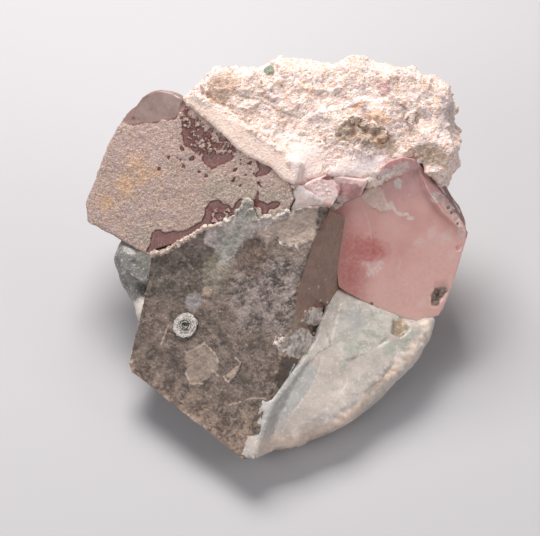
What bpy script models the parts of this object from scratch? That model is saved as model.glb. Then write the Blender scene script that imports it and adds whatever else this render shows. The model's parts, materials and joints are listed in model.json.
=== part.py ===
"""A hand-sized mineral specimen: pink morganite crystals and a smoky quartz crystal, grown together
on pale feldspar and albite. Metres, +Z up. The origin is on the flat broken base, under the middle
of the specimen, and the viewer of the specimen's best side stands at -Y and looks along +Y.

Every crystal is a block of stone sliced by flat planes, as a crystal's faces are. Its planes are
written in the crystal's own frame: u runs across the main face, v up along it, and the main face
itself is the plane w = 0. The feldspar and the albite are lumps that are melted together, broken
up by displacement, and hollowed where the crystals stand in them.
"""

import math

import bmesh
import bpy
from mathutils import Matrix, Vector

MM = 0.001
GAP = 0.3
SPECIMEN = "morganite_specimen"

# Crystal frames: a point on the main face, how far the face leans from level, the direction in
# which it leans (0 is towards the viewer, positive towards +X), and its turn about its own normal
LEFT_SEAT = {"centre": (-28.0, 41.0, 54.5), "tilt": 45.0, "heading": -29.0, "roll": 0.0}
SMOKY_SEAT = {"centre": (-15.0, -5.0, 29.5), "tilt": 32.0, "heading": -40.0, "roll": 20.0}
RIGHT_SEAT = {"centre": (40.0, 20.0, 37.5), "tilt": 47.0, "heading": 13.0, "roll": 0.0}

# Main faces: each corner (u, v), counter-clockwise, and how far the side after it leans outwards
# on its way down, in degrees
LEFT_FACE = [
    (-27.0, -25.0, -4.0),
    (-24.5, -30.0, -12.0),
    (4.0, -33.0, 0.0),
    (36.0, -12.0, 0.0),
    (38.0, 1.0, -6.0),
    (34.0, 6.0, -14.0),
    (-6.0, 18.0, -8.0),
    (-17.0, 18.5, 4.0),
    (-24.5, 8.0, 14.0),
    (-26.5, -4.0, 21.0),
]
LEFT_DEPTH = 20.0
LEFT_MORE = [
    ((-22.5, 3.5, 0.0), (-0.18, 0.30, 0.93)),
    ((-20.0, 20.0, -14.0), (-0.45, 0.75, -0.45)),
]

SMOKY_FACE = [
    (-29.3, -18.5, -12.0),
    (-27.0, -21.5, -24.0),
    (17.0, -41.2, -14.0),
    (24.0, -32.5, 12.0),
    (21.3, 0.0, 18.0),
    (22.3, 41.0, 35.0),
    (5.0, 36.0, 35.0),
    (-30.5, 18.0, -4.0),
]
SMOKY_DEPTH = 20.0

RIGHT_FACE = [
    (-22.0, -9.5, 0.0),
    (-20.0, -11.5, -6.0),
    (-7.0, -21.5, -10.0),
    (0.5, -24.3, -10.0),
    (8.0, -24.0, 20.0),
    (13.5, -15.5, 30.0),
    (21.2, 0.5, 45.0),
    (16.0, 8.5, 45.0),
    (10.0, 22.5, 55.0),
    (-2.0, 20.5, 55.0),
    (-14.0, 17.0, 0.0),
    (-22.0, 14.0, 0.0),
]
RIGHT_DEPTH = 23.0
RIGHT_MORE = [
    ((22.0, 0.5, 0.0), (0.90, 0.43, 0.0)),
    ((10.5, 25.0, 0.0), (0.35, 0.93, -0.05)),
    ((0.0, 27.0, 0.0), (-0.18, 0.98, -0.10)),
    ((14.0, -16.0, 0.0), (0.90, -0.43, 0.05)),
]
RIGHT_PIT = (9.0, -17.4, 0.8)
RIGHT_PIT_SIZE = (2.4, 3.0, 2.6)

# Broken morganite between the two crystals: the corners of each shard, in the specimen's frame
MIDDLE_SHARDS = [
    [(1.0, 22.5, 50.5), (7.4, 26.7, 57.4), (12.0, 24.0, 56.0), (17.0, 22.0, 54.0), (16.5, 21.5, 52.5),
     (3.0, 34.0, 50.0), (18.0, 34.0, 52.0), (10.0, 27.0, 44.0)],
    [(9.0, 26.5, 58.0), (16.0, 30.5, 58.2), (20.0, 27.5, 55.0), (17.5, 22.0, 53.8), (12.0, 36.0, 52.0),
     (22.0, 36.0, 50.0), (14.0, 27.0, 46.0)],
    [(18.0, 31.5, 56.8), (28.5, 30.5, 55.6), (26.5, 28.0, 51.5), (19.0, 26.0, 51.5), (20.0, 38.0, 52.0),
     (28.0, 38.0, 51.0), (22.0, 28.0, 45.0)],
]

# Rock masses: the corners of each lump, in the specimen's frame
MATRIX_LUMPS = [
    [(-26, 54, 67), (-19, 61, 74), (8, 67, 77), (33, 64, 74), (54, 61, 72), (57, 51, 66), (54, 34, 54),
     (41, 35, 56), (20, 33, 57), (4, 28, 56), (-11, 40, 61), (-34, 62, 48), (-12, 70, 50), (20, 73, 48),
     (48, 67, 46), (57, 54, 44), (-40, 48, 22), (-22, 58, 16), (10, 63, 14), (38, 57, 15), (50, 42, 24),
     (-28, 12, -3), (-26, 38, -3), (6, 44, -3), (34, 38, -3), (36, 12, -3)],
    [(-25, 54, 69), (-20, 62, 76), (-9, 62, 77), (-8, 52, 70), (-22, 60, 60), (-8, 62, 60)],
    [(20, 40, 63), (36, 42, 64), (38, 52, 70), (19, 50, 69), (24, 54, 55), (36, 54, 55)],
    [(44, 36, 57), (55, 36, 58), (57, 47, 66), (46, 47, 66), (46, 46, 48), (55, 46, 48)],
]
ALBITE_LUMPS = [
    [(-6, -44, 12), (7, -40, 12), (22, -31, 12.5), (33, -22, 14), (41, -12, 15.5), (48, -1, 18),
     (52, 5, 20.5), (50, 9, 22), (36, 8, 24.5), (23, 12, 29), (15, 20, 30), (-2, -28, 21), (3, -12, 26),
     (-13, -22, -3), (8, -25, -3), (28, -14, -3), (36, 6, -3), (36, 34, -3), (-30, 34, -3),
     (-34, -2, 4), (-42, 4, 12), (-47, 30, 20), (50, 24, 20)],
    [(-54, 29, 31), (-53, 21, 26), (-45, 12, 18), (-42, 22, 34), (-48, 36, 28), (-36, 24, 10),
     (-40, 12, 8)],
    [(-46, 11, 23), (-45, 3, 19), (-39, 0, 12), (-36, 8, 24), (-34, 16, 6), (-34, 4, 6)],
]

# Hollows worn into the feldspar: centre, half sizes, and lean and turn in degrees
MATRIX_HOLLOWS = [
    ((27.0, 45.0, 68.5), (15.0, 6.5, 6.0), 28.0, -8.0),
    ((-13.0, 56.0, 75.0), (5.5, 4.0, 4.0), 20.0, 30.0),
    ((47.0, 50.0, 69.5), (6.0, 5.0, 3.5), 25.0, 10.0),
]
REMESH = 2.4
FINE_REMESH = 3.0

# How each rock breaks up: the kind of pattern, its grain and its height
MATRIX_BREAKS = [("VORONOI", 13.0, 6.0), ("CLOUDS", 5.0, 3.0)]
ALBITE_BREAKS = [("VORONOI", 15.0, 3.5), ("CLOUDS", 5.0, 2.0)]

# Where the feldspar ends and the albite begins: a point on that break and the way the break faces
PARTING = ((0.0, 22.0, 12.0), (-0.14, -0.99, 0.0))
PARTING_CUTS = 40
PARTING_BREAK = (14.0, 7.0)
PARTING_GAP = 0.5

# Mica rosette on the smoky quartz: where on the face, the plates' radii and how high each lies
ROSETTE_PLACE = (-13.0, -3.5)
ROSETTE_PLATES = [(4.5, 0.7), (3.4, 1.2), (2.0, 1.6)]
ROSETTE_SIDES = 14
ROSETTE_EDGE = 0.2

# The block that a crystal is sliced from, how far rock is cleared above a main face, the w of a
# normal above which a bevel counts as lying nearly flat, and how close two corners count as one
BLOCK = 240.0
CLEARANCE = 45.0
NEARLY_FLAT = 0.62
SAME_CORNER = 1e-5

FINISHES = {
    "matrix": ((0.78, 0.66, 0.57), 0.85),
    "albite": ((0.70, 0.74, 0.69), 0.55),
    "smoky_quartz": ((0.33, 0.28, 0.26), 0.45),
    "morganite_left": ((0.55, 0.36, 0.35), 0.55),
    "morganite_right": ((0.80, 0.45, 0.45), 0.25),
    "morganite_middle": ((0.80, 0.52, 0.50), 0.30),
    "mica_rosette": ((0.52, 0.52, 0.53), 0.35),
}


def clear_scene():
    for obj in list(bpy.data.objects):
        bpy.data.objects.remove(obj, do_unlink=True)


def make_collection(name, hidden=False):
    collection = bpy.data.collections.new(name)
    bpy.context.scene.collection.children.link(collection)
    collection.hide_render = hidden
    return collection


def make_finish(name):
    colour, roughness = FINISHES[name]
    material = bpy.data.materials.new(name)
    material.use_nodes = True
    shader = material.node_tree.nodes["Principled BSDF"]
    shader.inputs["Base Color"].default_value = (*colour, 1.0)
    shader.inputs["Roughness"].default_value = roughness
    shader.inputs["Metallic"].default_value = 0.0
    return material


def crystal_frame(seat):
    """The matrix from a crystal's own (u, v, w) to the specimen, both in millimetres."""
    turn = (
        Matrix.Rotation(math.radians(seat["heading"]), 4, "Z")
        @ Matrix.Rotation(math.radians(seat["tilt"]), 4, "X")
        @ Matrix.Rotation(math.radians(seat["roll"]), 4, "Z")
    )
    return Matrix.Translation(Vector(seat["centre"])) @ turn


def slice_off(bm, point, normal):
    """Cuts away what lies beyond a plane and closes the cut."""
    everything = bm.verts[:] + bm.edges[:] + bm.faces[:]
    cut = bmesh.ops.bisect_plane(
        bm, geom=everything, plane_co=point, plane_no=normal, clear_outer=True, dist=SAME_CORNER
    )
    rim = [item for item in cut["geom_cut"] if isinstance(item, bmesh.types.BMEdge)]
    if rim:
        bmesh.ops.edgeloop_fill(bm, edges=rim)


def side_planes(face):
    """A point and an outward normal for the side that follows each corner of a main face."""
    planes = []
    for index, (u, v, lean) in enumerate(face):
        next_u, next_v, _ = face[(index + 1) % len(face)]
        along = Vector((next_u - u, next_v - v, 0.0)).normalized()
        outward = Vector((along.y, -along.x, 0.0))
        lean = math.radians(lean)
        normal = outward * math.cos(lean) + Vector((0.0, 0.0, math.sin(lean)))
        planes.append((Vector((u, v, 0.0)), normal))
    return planes


def finish_mesh(bm, name):
    """Turns millimetres into metres and the bmesh into a mesh."""
    bmesh.ops.recalc_face_normals(bm, faces=bm.faces[:])
    bmesh.ops.scale(bm, vec=(MM, MM, MM), verts=bm.verts[:])
    mesh = bpy.data.meshes.new(name)
    bm.to_mesh(mesh)
    bm.free()
    return mesh


def crystal_mesh(name, seat, face, depth, more, grow=0.0, lift=0.0):
    """A crystal from its planes. grow moves every plane outwards. lift raises the main face alone,
    and leaves out the bevels that lie nearly flat beside it, so the block clears all above it."""
    bm = bmesh.new()
    bmesh.ops.create_cube(bm, size=BLOCK)
    up = Vector((0.0, 0.0, 1.0))
    slice_off(bm, up * (grow + lift), up)
    slice_off(bm, -up * (depth + grow), -up)
    planes = side_planes(face) + [(Vector(point), Vector(normal).normalized()) for point, normal in more]
    for point, normal in planes:
        if not (lift and normal.z > NEARLY_FLAT):
            slice_off(bm, point + normal * grow, normal)
    bmesh.ops.transform(bm, matrix=crystal_frame(seat), verts=bm.verts[:])
    if not grow:
        slice_off(bm, Vector(), Vector((0.0, 0.0, -1.0)))
    return finish_mesh(bm, name)


def lump_mesh(name, lumps):
    """One mesh of several lumps, each the tight skin around its own corners."""
    bm = bmesh.new()
    for corners in lumps:
        verts = [bm.verts.new(corner) for corner in corners]
        hull = bmesh.ops.convex_hull(bm, input=verts)
        inside = [item for item in hull["geom_interior"] if isinstance(item, bmesh.types.BMVert)]
        bmesh.ops.delete(bm, geom=inside, context="VERTS")
    return finish_mesh(bm, name)


def shard_mesh(name, corners, grow):
    """A block sliced along every face of the skin around the corners, each moved out by grow."""
    hull = bmesh.new()
    hull_verts = [hull.verts.new(corner) for corner in corners]
    bmesh.ops.convex_hull(hull, input=hull_verts)
    hull.normal_update()
    bm = bmesh.new()
    bmesh.ops.create_cube(bm, size=BLOCK)
    for face in hull.faces:
        slice_off(bm, face.verts[0].co + face.normal * grow, face.normal)
    hull.free()
    return finish_mesh(bm, name)


def add_part(name, mesh, collection):
    obj = bpy.data.objects.new(name, mesh)
    mesh.materials.append(make_finish(name))
    collection.objects.link(obj)
    return obj


def add_cutter(name, mesh, collection):
    obj = bpy.data.objects.new(name, mesh)
    obj.hide_render = True
    obj.display_type = "WIRE"
    collection.objects.link(obj)
    return obj


def remove_from(part, cutter):
    cut = part.modifiers.new("cut_" + cutter.name, "BOOLEAN")
    cut.operation = "DIFFERENCE"
    cut.solver = "EXACT"
    cut.object = cutter


def keep_within(part, cutter):
    cut = part.modifiers.new("keep_" + cutter.name, "BOOLEAN")
    cut.operation = "INTERSECT"
    cut.solver = "EXACT"
    cut.object = cutter


def melt(part, voxel):
    remesh = part.modifiers.new("melt", "REMESH")
    remesh.mode = "VOXEL"
    remesh.voxel_size = voxel * MM


def break_up(part, kind, grain, height):
    """Ledges and hollows of a given width and height over the whole skin of a rock."""
    texture = bpy.data.textures.new(f"{part.name}_{kind.lower()}", kind)
    texture.noise_scale = grain * MM
    displace = part.modifiers.new("break_" + kind.lower(), "DISPLACE")
    displace.texture = texture
    displace.texture_coords = "LOCAL"
    displace.mid_level = 0.5
    displace.strength = height * MM


def half_space(name, collection, point, normal, cuts=0):
    """A block that fills everything beyond a plane."""
    bm = bmesh.new()
    bmesh.ops.create_cube(bm, size=BLOCK)
    if cuts:
        bmesh.ops.subdivide_edges(bm, edges=bm.edges[:], cuts=cuts, use_grid_fill=True)
    normal = Vector(normal).normalized()
    turn = normal.to_track_quat("Z", "Y").to_matrix().to_4x4()
    place = Matrix.Translation(Vector(point) + normal * BLOCK / 2) @ turn
    bmesh.ops.transform(bm, matrix=place, verts=bm.verts[:])
    return add_cutter(name, finish_mesh(bm, name), collection)


def parting(name, collection, shift):
    """The uneven break between the two rocks: all that lies behind it, moved forwards by shift."""
    point, normal = PARTING
    block = half_space(name, collection, point, [-n for n in normal], cuts=PARTING_CUTS)
    break_up(block, "CLOUDS", *PARTING_BREAK)
    block.location = Vector(normal).normalized() * shift * MM
    return block


def scoop(name, cutters, place, half_sizes):
    """A faceted, flattened ball that scoops out a hollow."""
    bm = bmesh.new()
    bmesh.ops.create_icosphere(bm, subdivisions=1, radius=1.0)
    stretch = Matrix.Diagonal((*half_sizes, 1.0))
    bmesh.ops.transform(bm, matrix=place @ stretch, verts=bm.verts[:])
    return add_cutter(name, finish_mesh(bm, name), cutters)


def make_crystals(parts, cutters):
    """The grown crystals, each cut back by 0.3 mm where a neighbour grew first. Returns the cutters
    that clear the rock from them and from in front of their main faces."""
    sets = {
        "smoky_quartz": (SMOKY_SEAT, SMOKY_FACE, SMOKY_DEPTH, []),
        "morganite_right": (RIGHT_SEAT, RIGHT_FACE, RIGHT_DEPTH, RIGHT_MORE),
        "morganite_left": (LEFT_SEAT, LEFT_FACE, LEFT_DEPTH, LEFT_MORE),
    }
    grown = []
    rooms = []
    for name, (seat, face, depth, more) in sets.items():
        part = add_part(name, crystal_mesh(name, seat, face, depth, more), parts)
        for neighbour in grown:
            remove_from(part, neighbour)
        if name == "morganite_right":
            place = crystal_frame(RIGHT_SEAT) @ Matrix.Translation(RIGHT_PIT)
            remove_from(part, scoop("pit", cutters, place, RIGHT_PIT_SIZE))
        grown_mesh = crystal_mesh(name + "_grown", seat, face, depth, more, grow=GAP)
        grown.append(add_cutter(name + "_grown", grown_mesh, cutters))
        room_mesh = crystal_mesh(name + "_room", seat, face, depth, more, grow=GAP, lift=CLEARANCE)
        rooms.append(add_cutter(name + "_room", room_mesh, cutters))
    return rooms


def make_middle(parts, cutters, rooms):
    """The broken shards between the two morganite crystals, joined in one solid. Returns the cutters
    that keep the rock off them."""
    part = add_part("morganite_middle", shard_mesh("morganite_middle", MIDDLE_SHARDS[0], 0.0), parts)
    grown = []
    for index, corners in enumerate(MIDDLE_SHARDS):
        if index:
            shard = add_cutter(f"shard_{index}", shard_mesh("shard", corners, 0.0), cutters)
            join = part.modifiers.new("join", "BOOLEAN")
            join.operation = "UNION"
            join.solver = "EXACT"
            join.object = shard
        grown.append(add_cutter(f"shard_{index}_grown", shard_mesh("grown", corners, GAP), cutters))
    for room in rooms:
        remove_from(part, room)
    return grown


def islands_of(bm):
    """The faces of each closed skin. Skins that only touch along an edge count as apart."""
    left = set(bm.faces)
    islands = []
    while left:
        island = [left.pop()]
        for face in island:
            for edge in face.edges:
                if len(edge.link_faces) != 2:
                    continue
                for other in edge.link_faces:
                    if other in left:
                        left.discard(other)
                        island.append(other)
        islands.append(island)
    return sorted(islands, key=len)


def bake(part):
    """Fixes the modifiers into the mesh and drops crumbs that came loose from the piece."""
    bpy.context.view_layer.update()
    graph = bpy.context.evaluated_depsgraph_get()
    baked = bpy.data.meshes.new_from_object(part.evaluated_get(graph))
    part.modifiers.clear()
    part.data = baked
    bm = bmesh.new()
    bm.from_mesh(baked)
    bmesh.ops.triangulate(bm, faces=bm.faces[:])
    crumbs = [face for island in islands_of(bm)[:-1] for face in island]
    bmesh.ops.delete(bm, geom=crumbs, context="FACES")
    bm.to_mesh(baked)
    bm.free()


def make_rock(name, lumps, hollows, breaks, collection, cutters):
    part = add_part(name, lump_mesh(name, lumps), collection)
    melt(part, REMESH)
    for index, (centre, half_sizes, tilt, heading) in enumerate(hollows):
        seat = {"centre": centre, "tilt": tilt, "heading": heading, "roll": 0.0}
        remove_from(part, scoop(f"hollow_{index}", cutters, crystal_frame(seat), half_sizes))
    for kind, grain, height in breaks:
        break_up(part, kind, grain, height)
    melt(part, FINE_REMESH)
    return part


def make_rosette(collection, seat):
    """Mica plates stacked flat on the quartz, each inset into the top of the one below."""
    radius, top = ROSETTE_PLATES[0]
    bm = bmesh.new()
    bmesh.ops.create_cone(
        bm, cap_ends=True, segments=ROSETTE_SIDES, radius1=radius, radius2=radius, depth=top - GAP,
        matrix=Matrix.Translation((*ROSETTE_PLACE, (top + GAP) / 2)),
    )
    crown = max(bm.faces, key=lambda face: face.calc_center_median().z)
    for next_radius, next_top in ROSETTE_PLATES[1:]:
        step = radius - next_radius - ROSETTE_EDGE
        bmesh.ops.inset_region(bm, faces=[crown], thickness=step)
        bmesh.ops.inset_region(bm, faces=[crown], thickness=ROSETTE_EDGE, depth=next_top - top)
        radius, top = next_radius, next_top
    bmesh.ops.transform(bm, matrix=crystal_frame(seat), verts=bm.verts[:])
    return add_part("mica_rosette", finish_mesh(bm, "mica_rosette"), collection)


def main():
    clear_scene()
    parts = make_collection(SPECIMEN)
    cutters = make_collection("cutters", hidden=True)
    rooms = make_crystals(parts, cutters)
    rooms += make_middle(parts, cutters, rooms)
    ground = half_space("ground", cutters, (0, 0, 0), (0, 0, -1))

    matrix = make_rock("matrix", MATRIX_LUMPS, MATRIX_HOLLOWS, MATRIX_BREAKS, parts, cutters)
    keep_within(matrix, parting("parting", cutters, 0.0))
    albite = make_rock("albite", ALBITE_LUMPS, [], ALBITE_BREAKS, parts, cutters)
    remove_from(albite, parting("parting_moved", cutters, PARTING_GAP))
    for rock in (matrix, albite):
        for cutter in [ground] + rooms:
            remove_from(rock, cutter)
        bake(rock)
    make_rosette(parts, SMOKY_SEAT)


main()
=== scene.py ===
# %% [markdown]
# # A morganite specimen, dressed mineral by mineral
# This script is a lesson in making minerals look real. The specimen is a rock that fits in two
# hands: pink morganite and smoky quartz, grown together on cream feldspar and pale albite. The
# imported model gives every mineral's plain form and place. What is missing is the surface:
# crumbling feldspar, a sugary crust, glassy faces, chips and stains. The lesson adds it one mineral
# at a time, always in the same order: the form first, then the painted zones, then the material.

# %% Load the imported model
import json
import math
import random

import bpy
import numpy as np
from mathutils import Matrix, Vector, noise

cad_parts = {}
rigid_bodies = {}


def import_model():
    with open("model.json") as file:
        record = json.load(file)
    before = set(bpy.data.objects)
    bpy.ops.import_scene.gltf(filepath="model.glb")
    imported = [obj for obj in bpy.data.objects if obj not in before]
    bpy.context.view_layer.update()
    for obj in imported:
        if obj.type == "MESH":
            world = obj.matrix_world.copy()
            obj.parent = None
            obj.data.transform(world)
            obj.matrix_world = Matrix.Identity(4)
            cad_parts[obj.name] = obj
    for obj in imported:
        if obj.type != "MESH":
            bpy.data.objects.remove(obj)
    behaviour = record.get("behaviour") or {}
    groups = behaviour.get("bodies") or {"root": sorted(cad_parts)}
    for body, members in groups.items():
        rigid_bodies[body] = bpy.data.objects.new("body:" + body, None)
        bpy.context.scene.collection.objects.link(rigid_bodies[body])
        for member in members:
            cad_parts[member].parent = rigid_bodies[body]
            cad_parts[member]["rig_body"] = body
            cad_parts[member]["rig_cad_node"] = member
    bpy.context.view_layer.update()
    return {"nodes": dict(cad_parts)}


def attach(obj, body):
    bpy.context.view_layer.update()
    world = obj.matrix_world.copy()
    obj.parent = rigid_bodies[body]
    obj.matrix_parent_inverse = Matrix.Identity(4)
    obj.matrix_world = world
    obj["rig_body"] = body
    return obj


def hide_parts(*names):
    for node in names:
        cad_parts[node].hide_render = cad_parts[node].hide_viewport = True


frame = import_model()
MM = 0.001

# %% [markdown]
# ## The camera
# The specimen lies below eye level and is seen from 48 degrees above level, through a long lens
# from nearly 0.8 metres away. A long lens keeps the crystal's edges parallel, as in a catalogue
# picture. The camera could be placed by eye, but its height and distance follow from the angle,
# so they are worked out from it.

# %% Place the camera
PICTURE_WIDTH = 540
VIEW_ELEVATION = math.radians(48)
VIEW_CENTRE = Vector((-1.6, 17.2, 30.0)) * MM
FOCAL_PIXELS = 2500
PIXELS_PER_MM = 3.17
SENSOR_MM = 36

view_distance = FOCAL_PIXELS / PIXELS_PER_MM * MM
towards_camera = Vector((0, -math.cos(VIEW_ELEVATION), math.sin(VIEW_ELEVATION)))
bpy.ops.object.select_all(action="DESELECT")
bpy.ops.object.camera_add(
    location=VIEW_CENTRE + towards_camera * view_distance,
    rotation=towards_camera.to_track_quat("Z", "Y").to_euler(),
)
camera = bpy.context.object
camera.name = "camera"
camera.data.sensor_width = SENSOR_MM
camera.data.lens = FOCAL_PIXELS / PICTURE_WIDTH * SENSOR_MM
camera.data.clip_start = view_distance / 100
bpy.context.scene.camera = camera
print(f"The camera stands {view_distance:.3f} m away with a {camera.data.lens:.0f} mm lens")

# %% [markdown]
# ## The floor and the light
# A mineral shows its colour in a soft light, because a small lamp would fill it with sharp glints.
# Three area lights stand for the softboxes of a studio. The one high above and behind is the
# strongest: it makes the top of the rock the brightest place and draws a small shadow behind every
# crumb. Two weaker ones open the shadows in front. The floor is a plain pale sheet.

# %% Lay the floor and hang the lights
FLOOR_SIZE = 3.0
FLOOR_DROP = 0.02
FLOOR_COLOUR = (0.5, 0.5, 0.52)
FLOOR_ROUGHNESS = 0.9
WORLD_LIGHT = (0.8, 0.82, 0.86)
WORLD_STRENGTH = 0.2
SOFTBOXES = [
    ("back_softbox", (-90, 330, 520), 330, 4.9, (1.0, 0.955, 0.92)),
    ("front_softbox", (-420, -420, 420), 420, 1.9, (1.0, 0.975, 0.97)),
    ("right_softbox", (520, -120, 300), 300, 0.9, (1.0, 0.97, 0.95)),
]


def lay_floor():
    bpy.ops.mesh.primitive_plane_add(size=FLOOR_SIZE, location=(0, 0, -FLOOR_DROP * MM))
    floor = bpy.context.object
    floor.name = "floor"
    paper = bpy.data.materials.new("pale_floor")
    paper.use_nodes = True
    shader = paper.node_tree.nodes["Principled BSDF"]
    shader.inputs["Base Color"].default_value = (*FLOOR_COLOUR, 1)
    shader.inputs["Roughness"].default_value = FLOOR_ROUGHNESS
    floor.data.materials.append(paper)


def hang_softbox(name, place, size, power, colour):
    """A square softbox that faces the specimen; its place and size are in millimetres."""
    place = Vector(place) * MM
    aim = (VIEW_CENTRE - place).to_track_quat("-Z", "Y").to_euler()
    bpy.ops.object.light_add(type="AREA", location=place, rotation=aim)
    lamp = bpy.context.object
    lamp.name = name
    lamp.data.size = size * MM
    lamp.data.energy = power
    lamp.data.color = colour


lay_floor()
for softbox in SOFTBOXES:
    hang_softbox(*softbox)
world = bpy.data.worlds.new("soft_room")
world.use_nodes = True
world.node_tree.nodes["Background"].inputs["Color"].default_value = (*WORLD_LIGHT, 1)
world.node_tree.nodes["Background"].inputs["Strength"].default_value = WORLD_STRENGTH
bpy.context.scene.world = world
bpy.context.scene.view_settings.view_transform = "Standard"
print("Softboxes:", ", ".join(softbox[0] for softbox in SOFTBOXES))

# %% [markdown]
# ## Working on a copy
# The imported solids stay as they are, so each mineral starts as a copy. The copy's triangles are
# loose and are merged first. Operators act on whatever is selected, so every helper first picks
# the one piece that it works on.

# %% Pick, copy, modify and join
SAME_PLACE = 0.01


def pick(piece):
    """Makes a piece the only selected one."""
    bpy.ops.object.select_all(action="DESELECT")
    piece.select_set(True)
    bpy.context.view_layer.objects.active = piece


def merged_copy(node, name):
    """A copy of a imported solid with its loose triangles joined."""
    pick(frame["nodes"][node])
    bpy.ops.object.duplicate()
    piece = bpy.context.object
    piece.name = piece.data.name = name
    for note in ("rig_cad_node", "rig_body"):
        del piece[note]
    piece.data.materials.clear()
    bpy.ops.object.parent_clear(type="CLEAR_KEEP_TRANSFORM")
    bpy.ops.object.mode_set(mode="EDIT")
    bpy.ops.mesh.select_all(action="SELECT")
    bpy.ops.mesh.remove_doubles(threshold=SAME_PLACE * MM)
    bpy.ops.object.mode_set(mode="OBJECT")
    return piece


def apply_modifier(piece, kind, **settings):
    """Adds one modifier, sets it and applies it."""
    pick(piece)
    bpy.ops.object.modifier_add(type=kind)
    modifier = piece.modifiers[-1]
    for setting, value in settings.items():
        setattr(modifier, setting, value)
    bpy.ops.object.modifier_apply(modifier=modifier.name)


def join_into(piece, additions):
    """Joins other objects into a piece, which keeps its name and its place."""
    pick(piece)
    for addition in additions:
        addition.select_set(True)
    bpy.ops.object.join()


def finish_form(piece, degrees):
    """Drops the masks and shades a piece smooth, except over edges sharper than an angle."""
    piece.vertex_groups.clear()
    pick(piece)
    bpy.ops.object.shade_smooth_by_angle(angle=math.radians(degrees))


def count_faces(piece):
    return f"{piece.name}: {len(piece.data.polygons)} faces"


# %% [markdown]
# ## Relief
# A fresh skin of small, even faces takes relief like clay. A voxel remesh gives that skin, and
# Displace modifiers press patterns into it. Sculpting by hand would do it too, but a pattern with
# a stated grain and height can be tuned and repeated. Vertex groups say where a pattern acts.

# %% Skin, patterns and masks
MASK_STEPS = 20


def skin_finely(piece, voxel):
    apply_modifier(piece, "REMESH", mode="VOXEL", voxel_size=voxel * MM)


def pattern(name, kind, grain, **settings):
    """A texture for relief, with the width of its grain in millimetres."""
    texture = bpy.data.textures.new(name, kind)
    texture.noise_scale = grain * MM
    for setting, value in settings.items():
        setattr(texture, setting, value)
    return texture


def press(piece, texture, height, mask=""):
    """Raises and lowers the skin along its normals by half the height each way."""
    apply_modifier(
        piece, "DISPLACE", texture=texture, texture_coords="LOCAL", mid_level=0.5,
        strength=height * MM, vertex_group=mask,
    )


def press_clouds(piece, name, grain, height, mask="", **settings):
    """Presses soft noise into the skin, with its grain and height in millimetres."""
    press(piece, pattern(name, "CLOUDS", grain, **settings), height, mask)


def shift(piece, height, mask=""):
    """Moves the skin outwards, or inwards if the height is negative."""
    apply_modifier(piece, "DISPLACE", mid_level=0, strength=height * MM, vertex_group=mask)


def points_of(piece):
    """Every point of a piece, in millimetres."""
    flat = np.empty(len(piece.data.vertices) * 3)
    piece.data.vertices.foreach_get("co", flat)
    return flat.reshape(-1, 3) / MM


def normals_of(piece):
    flat = np.empty(len(piece.data.vertices) * 3)
    piece.data.vertex_normals.foreach_get("vector", flat)
    return flat.reshape(-1, 3)


def make_mask(piece, name, amounts):
    """A vertex group from an amount of 0 to 1 at each point."""
    group = piece.vertex_groups.new(name=name)
    levels = np.round(np.clip(amounts, 0, 1) * MASK_STEPS).astype(int)
    for level in range(1, MASK_STEPS + 1):
        group.add(np.flatnonzero(levels == level).tolist(), level / MASK_STEPS, "REPLACE")


# %% [markdown]
# ## Places on the rock
# Stains, chips and bare patches are given one by one: outlines, lines and round spots on a flat
# crystal face, or balls on the rough rock. Painting them with a brush would hide where they are.
# Here each one is a short list of places in millimetres, measured across and up its own face.

# %% Measure across, up and out of a face
def face_turn(face):
    return (
        Matrix.Rotation(math.radians(face["heading"]), 3, "Z")
        @ Matrix.Rotation(math.radians(face["lean"]), 3, "X")
        @ Matrix.Rotation(math.radians(face["turn"]), 3, "Z")
    )


def face_places(points, face):
    """Each point as seen from a crystal face: across it, up it and out of it, in millimetres."""
    return ((points - np.array(face["centre"])) @ np.array(face_turn(face))).T


def on_face(face, across, up, out=0.0):
    """The point in space that lies at a place on a face, in millimetres."""
    return Vector(face["centre"]) + face_turn(face) @ Vector((across, up, out))


# %% Measure the distance to a line and the depth in an outline
NOWHERE = -9.0


def line_distance(across, up, line, closed=False):
    """How far each place on a face is from a line of corners."""
    ends = list(zip(line, line[1:] + line[:1])) if closed else list(zip(line, line[1:]))
    nearest = np.full(len(across), -NOWHERE)
    for (start_u, start_v), (end_u, end_v) in ends:
        step_u, step_v = end_u - start_u, end_v - start_v
        along = (across - start_u) * step_u + (up - start_v) * step_v
        share = np.clip(along / (step_u**2 + step_v**2), 0, 1)
        gap = np.hypot(across - start_u - share * step_u, up - start_v - share * step_v)
        nearest = np.minimum(nearest, gap)
    return nearest


def depth_inside(across, up, outline):
    """How far each place lies inside a closed outline; negative outside."""
    inside = np.zeros(len(across), bool)
    for (start_u, start_v), (end_u, end_v) in zip(outline, outline[1:] + outline[:1]):
        if start_v != end_v:
            crossing = (end_u - start_u) * (up - start_v) / (end_v - start_v) + start_u
            inside ^= ((start_v > up) != (end_v > up)) & (across < crossing)
    gap = line_distance(across, up, outline, closed=True)
    return np.where(inside, gap, -gap)


# %% Measure the depth in a zone
USUAL_REACH = -3.0


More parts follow.
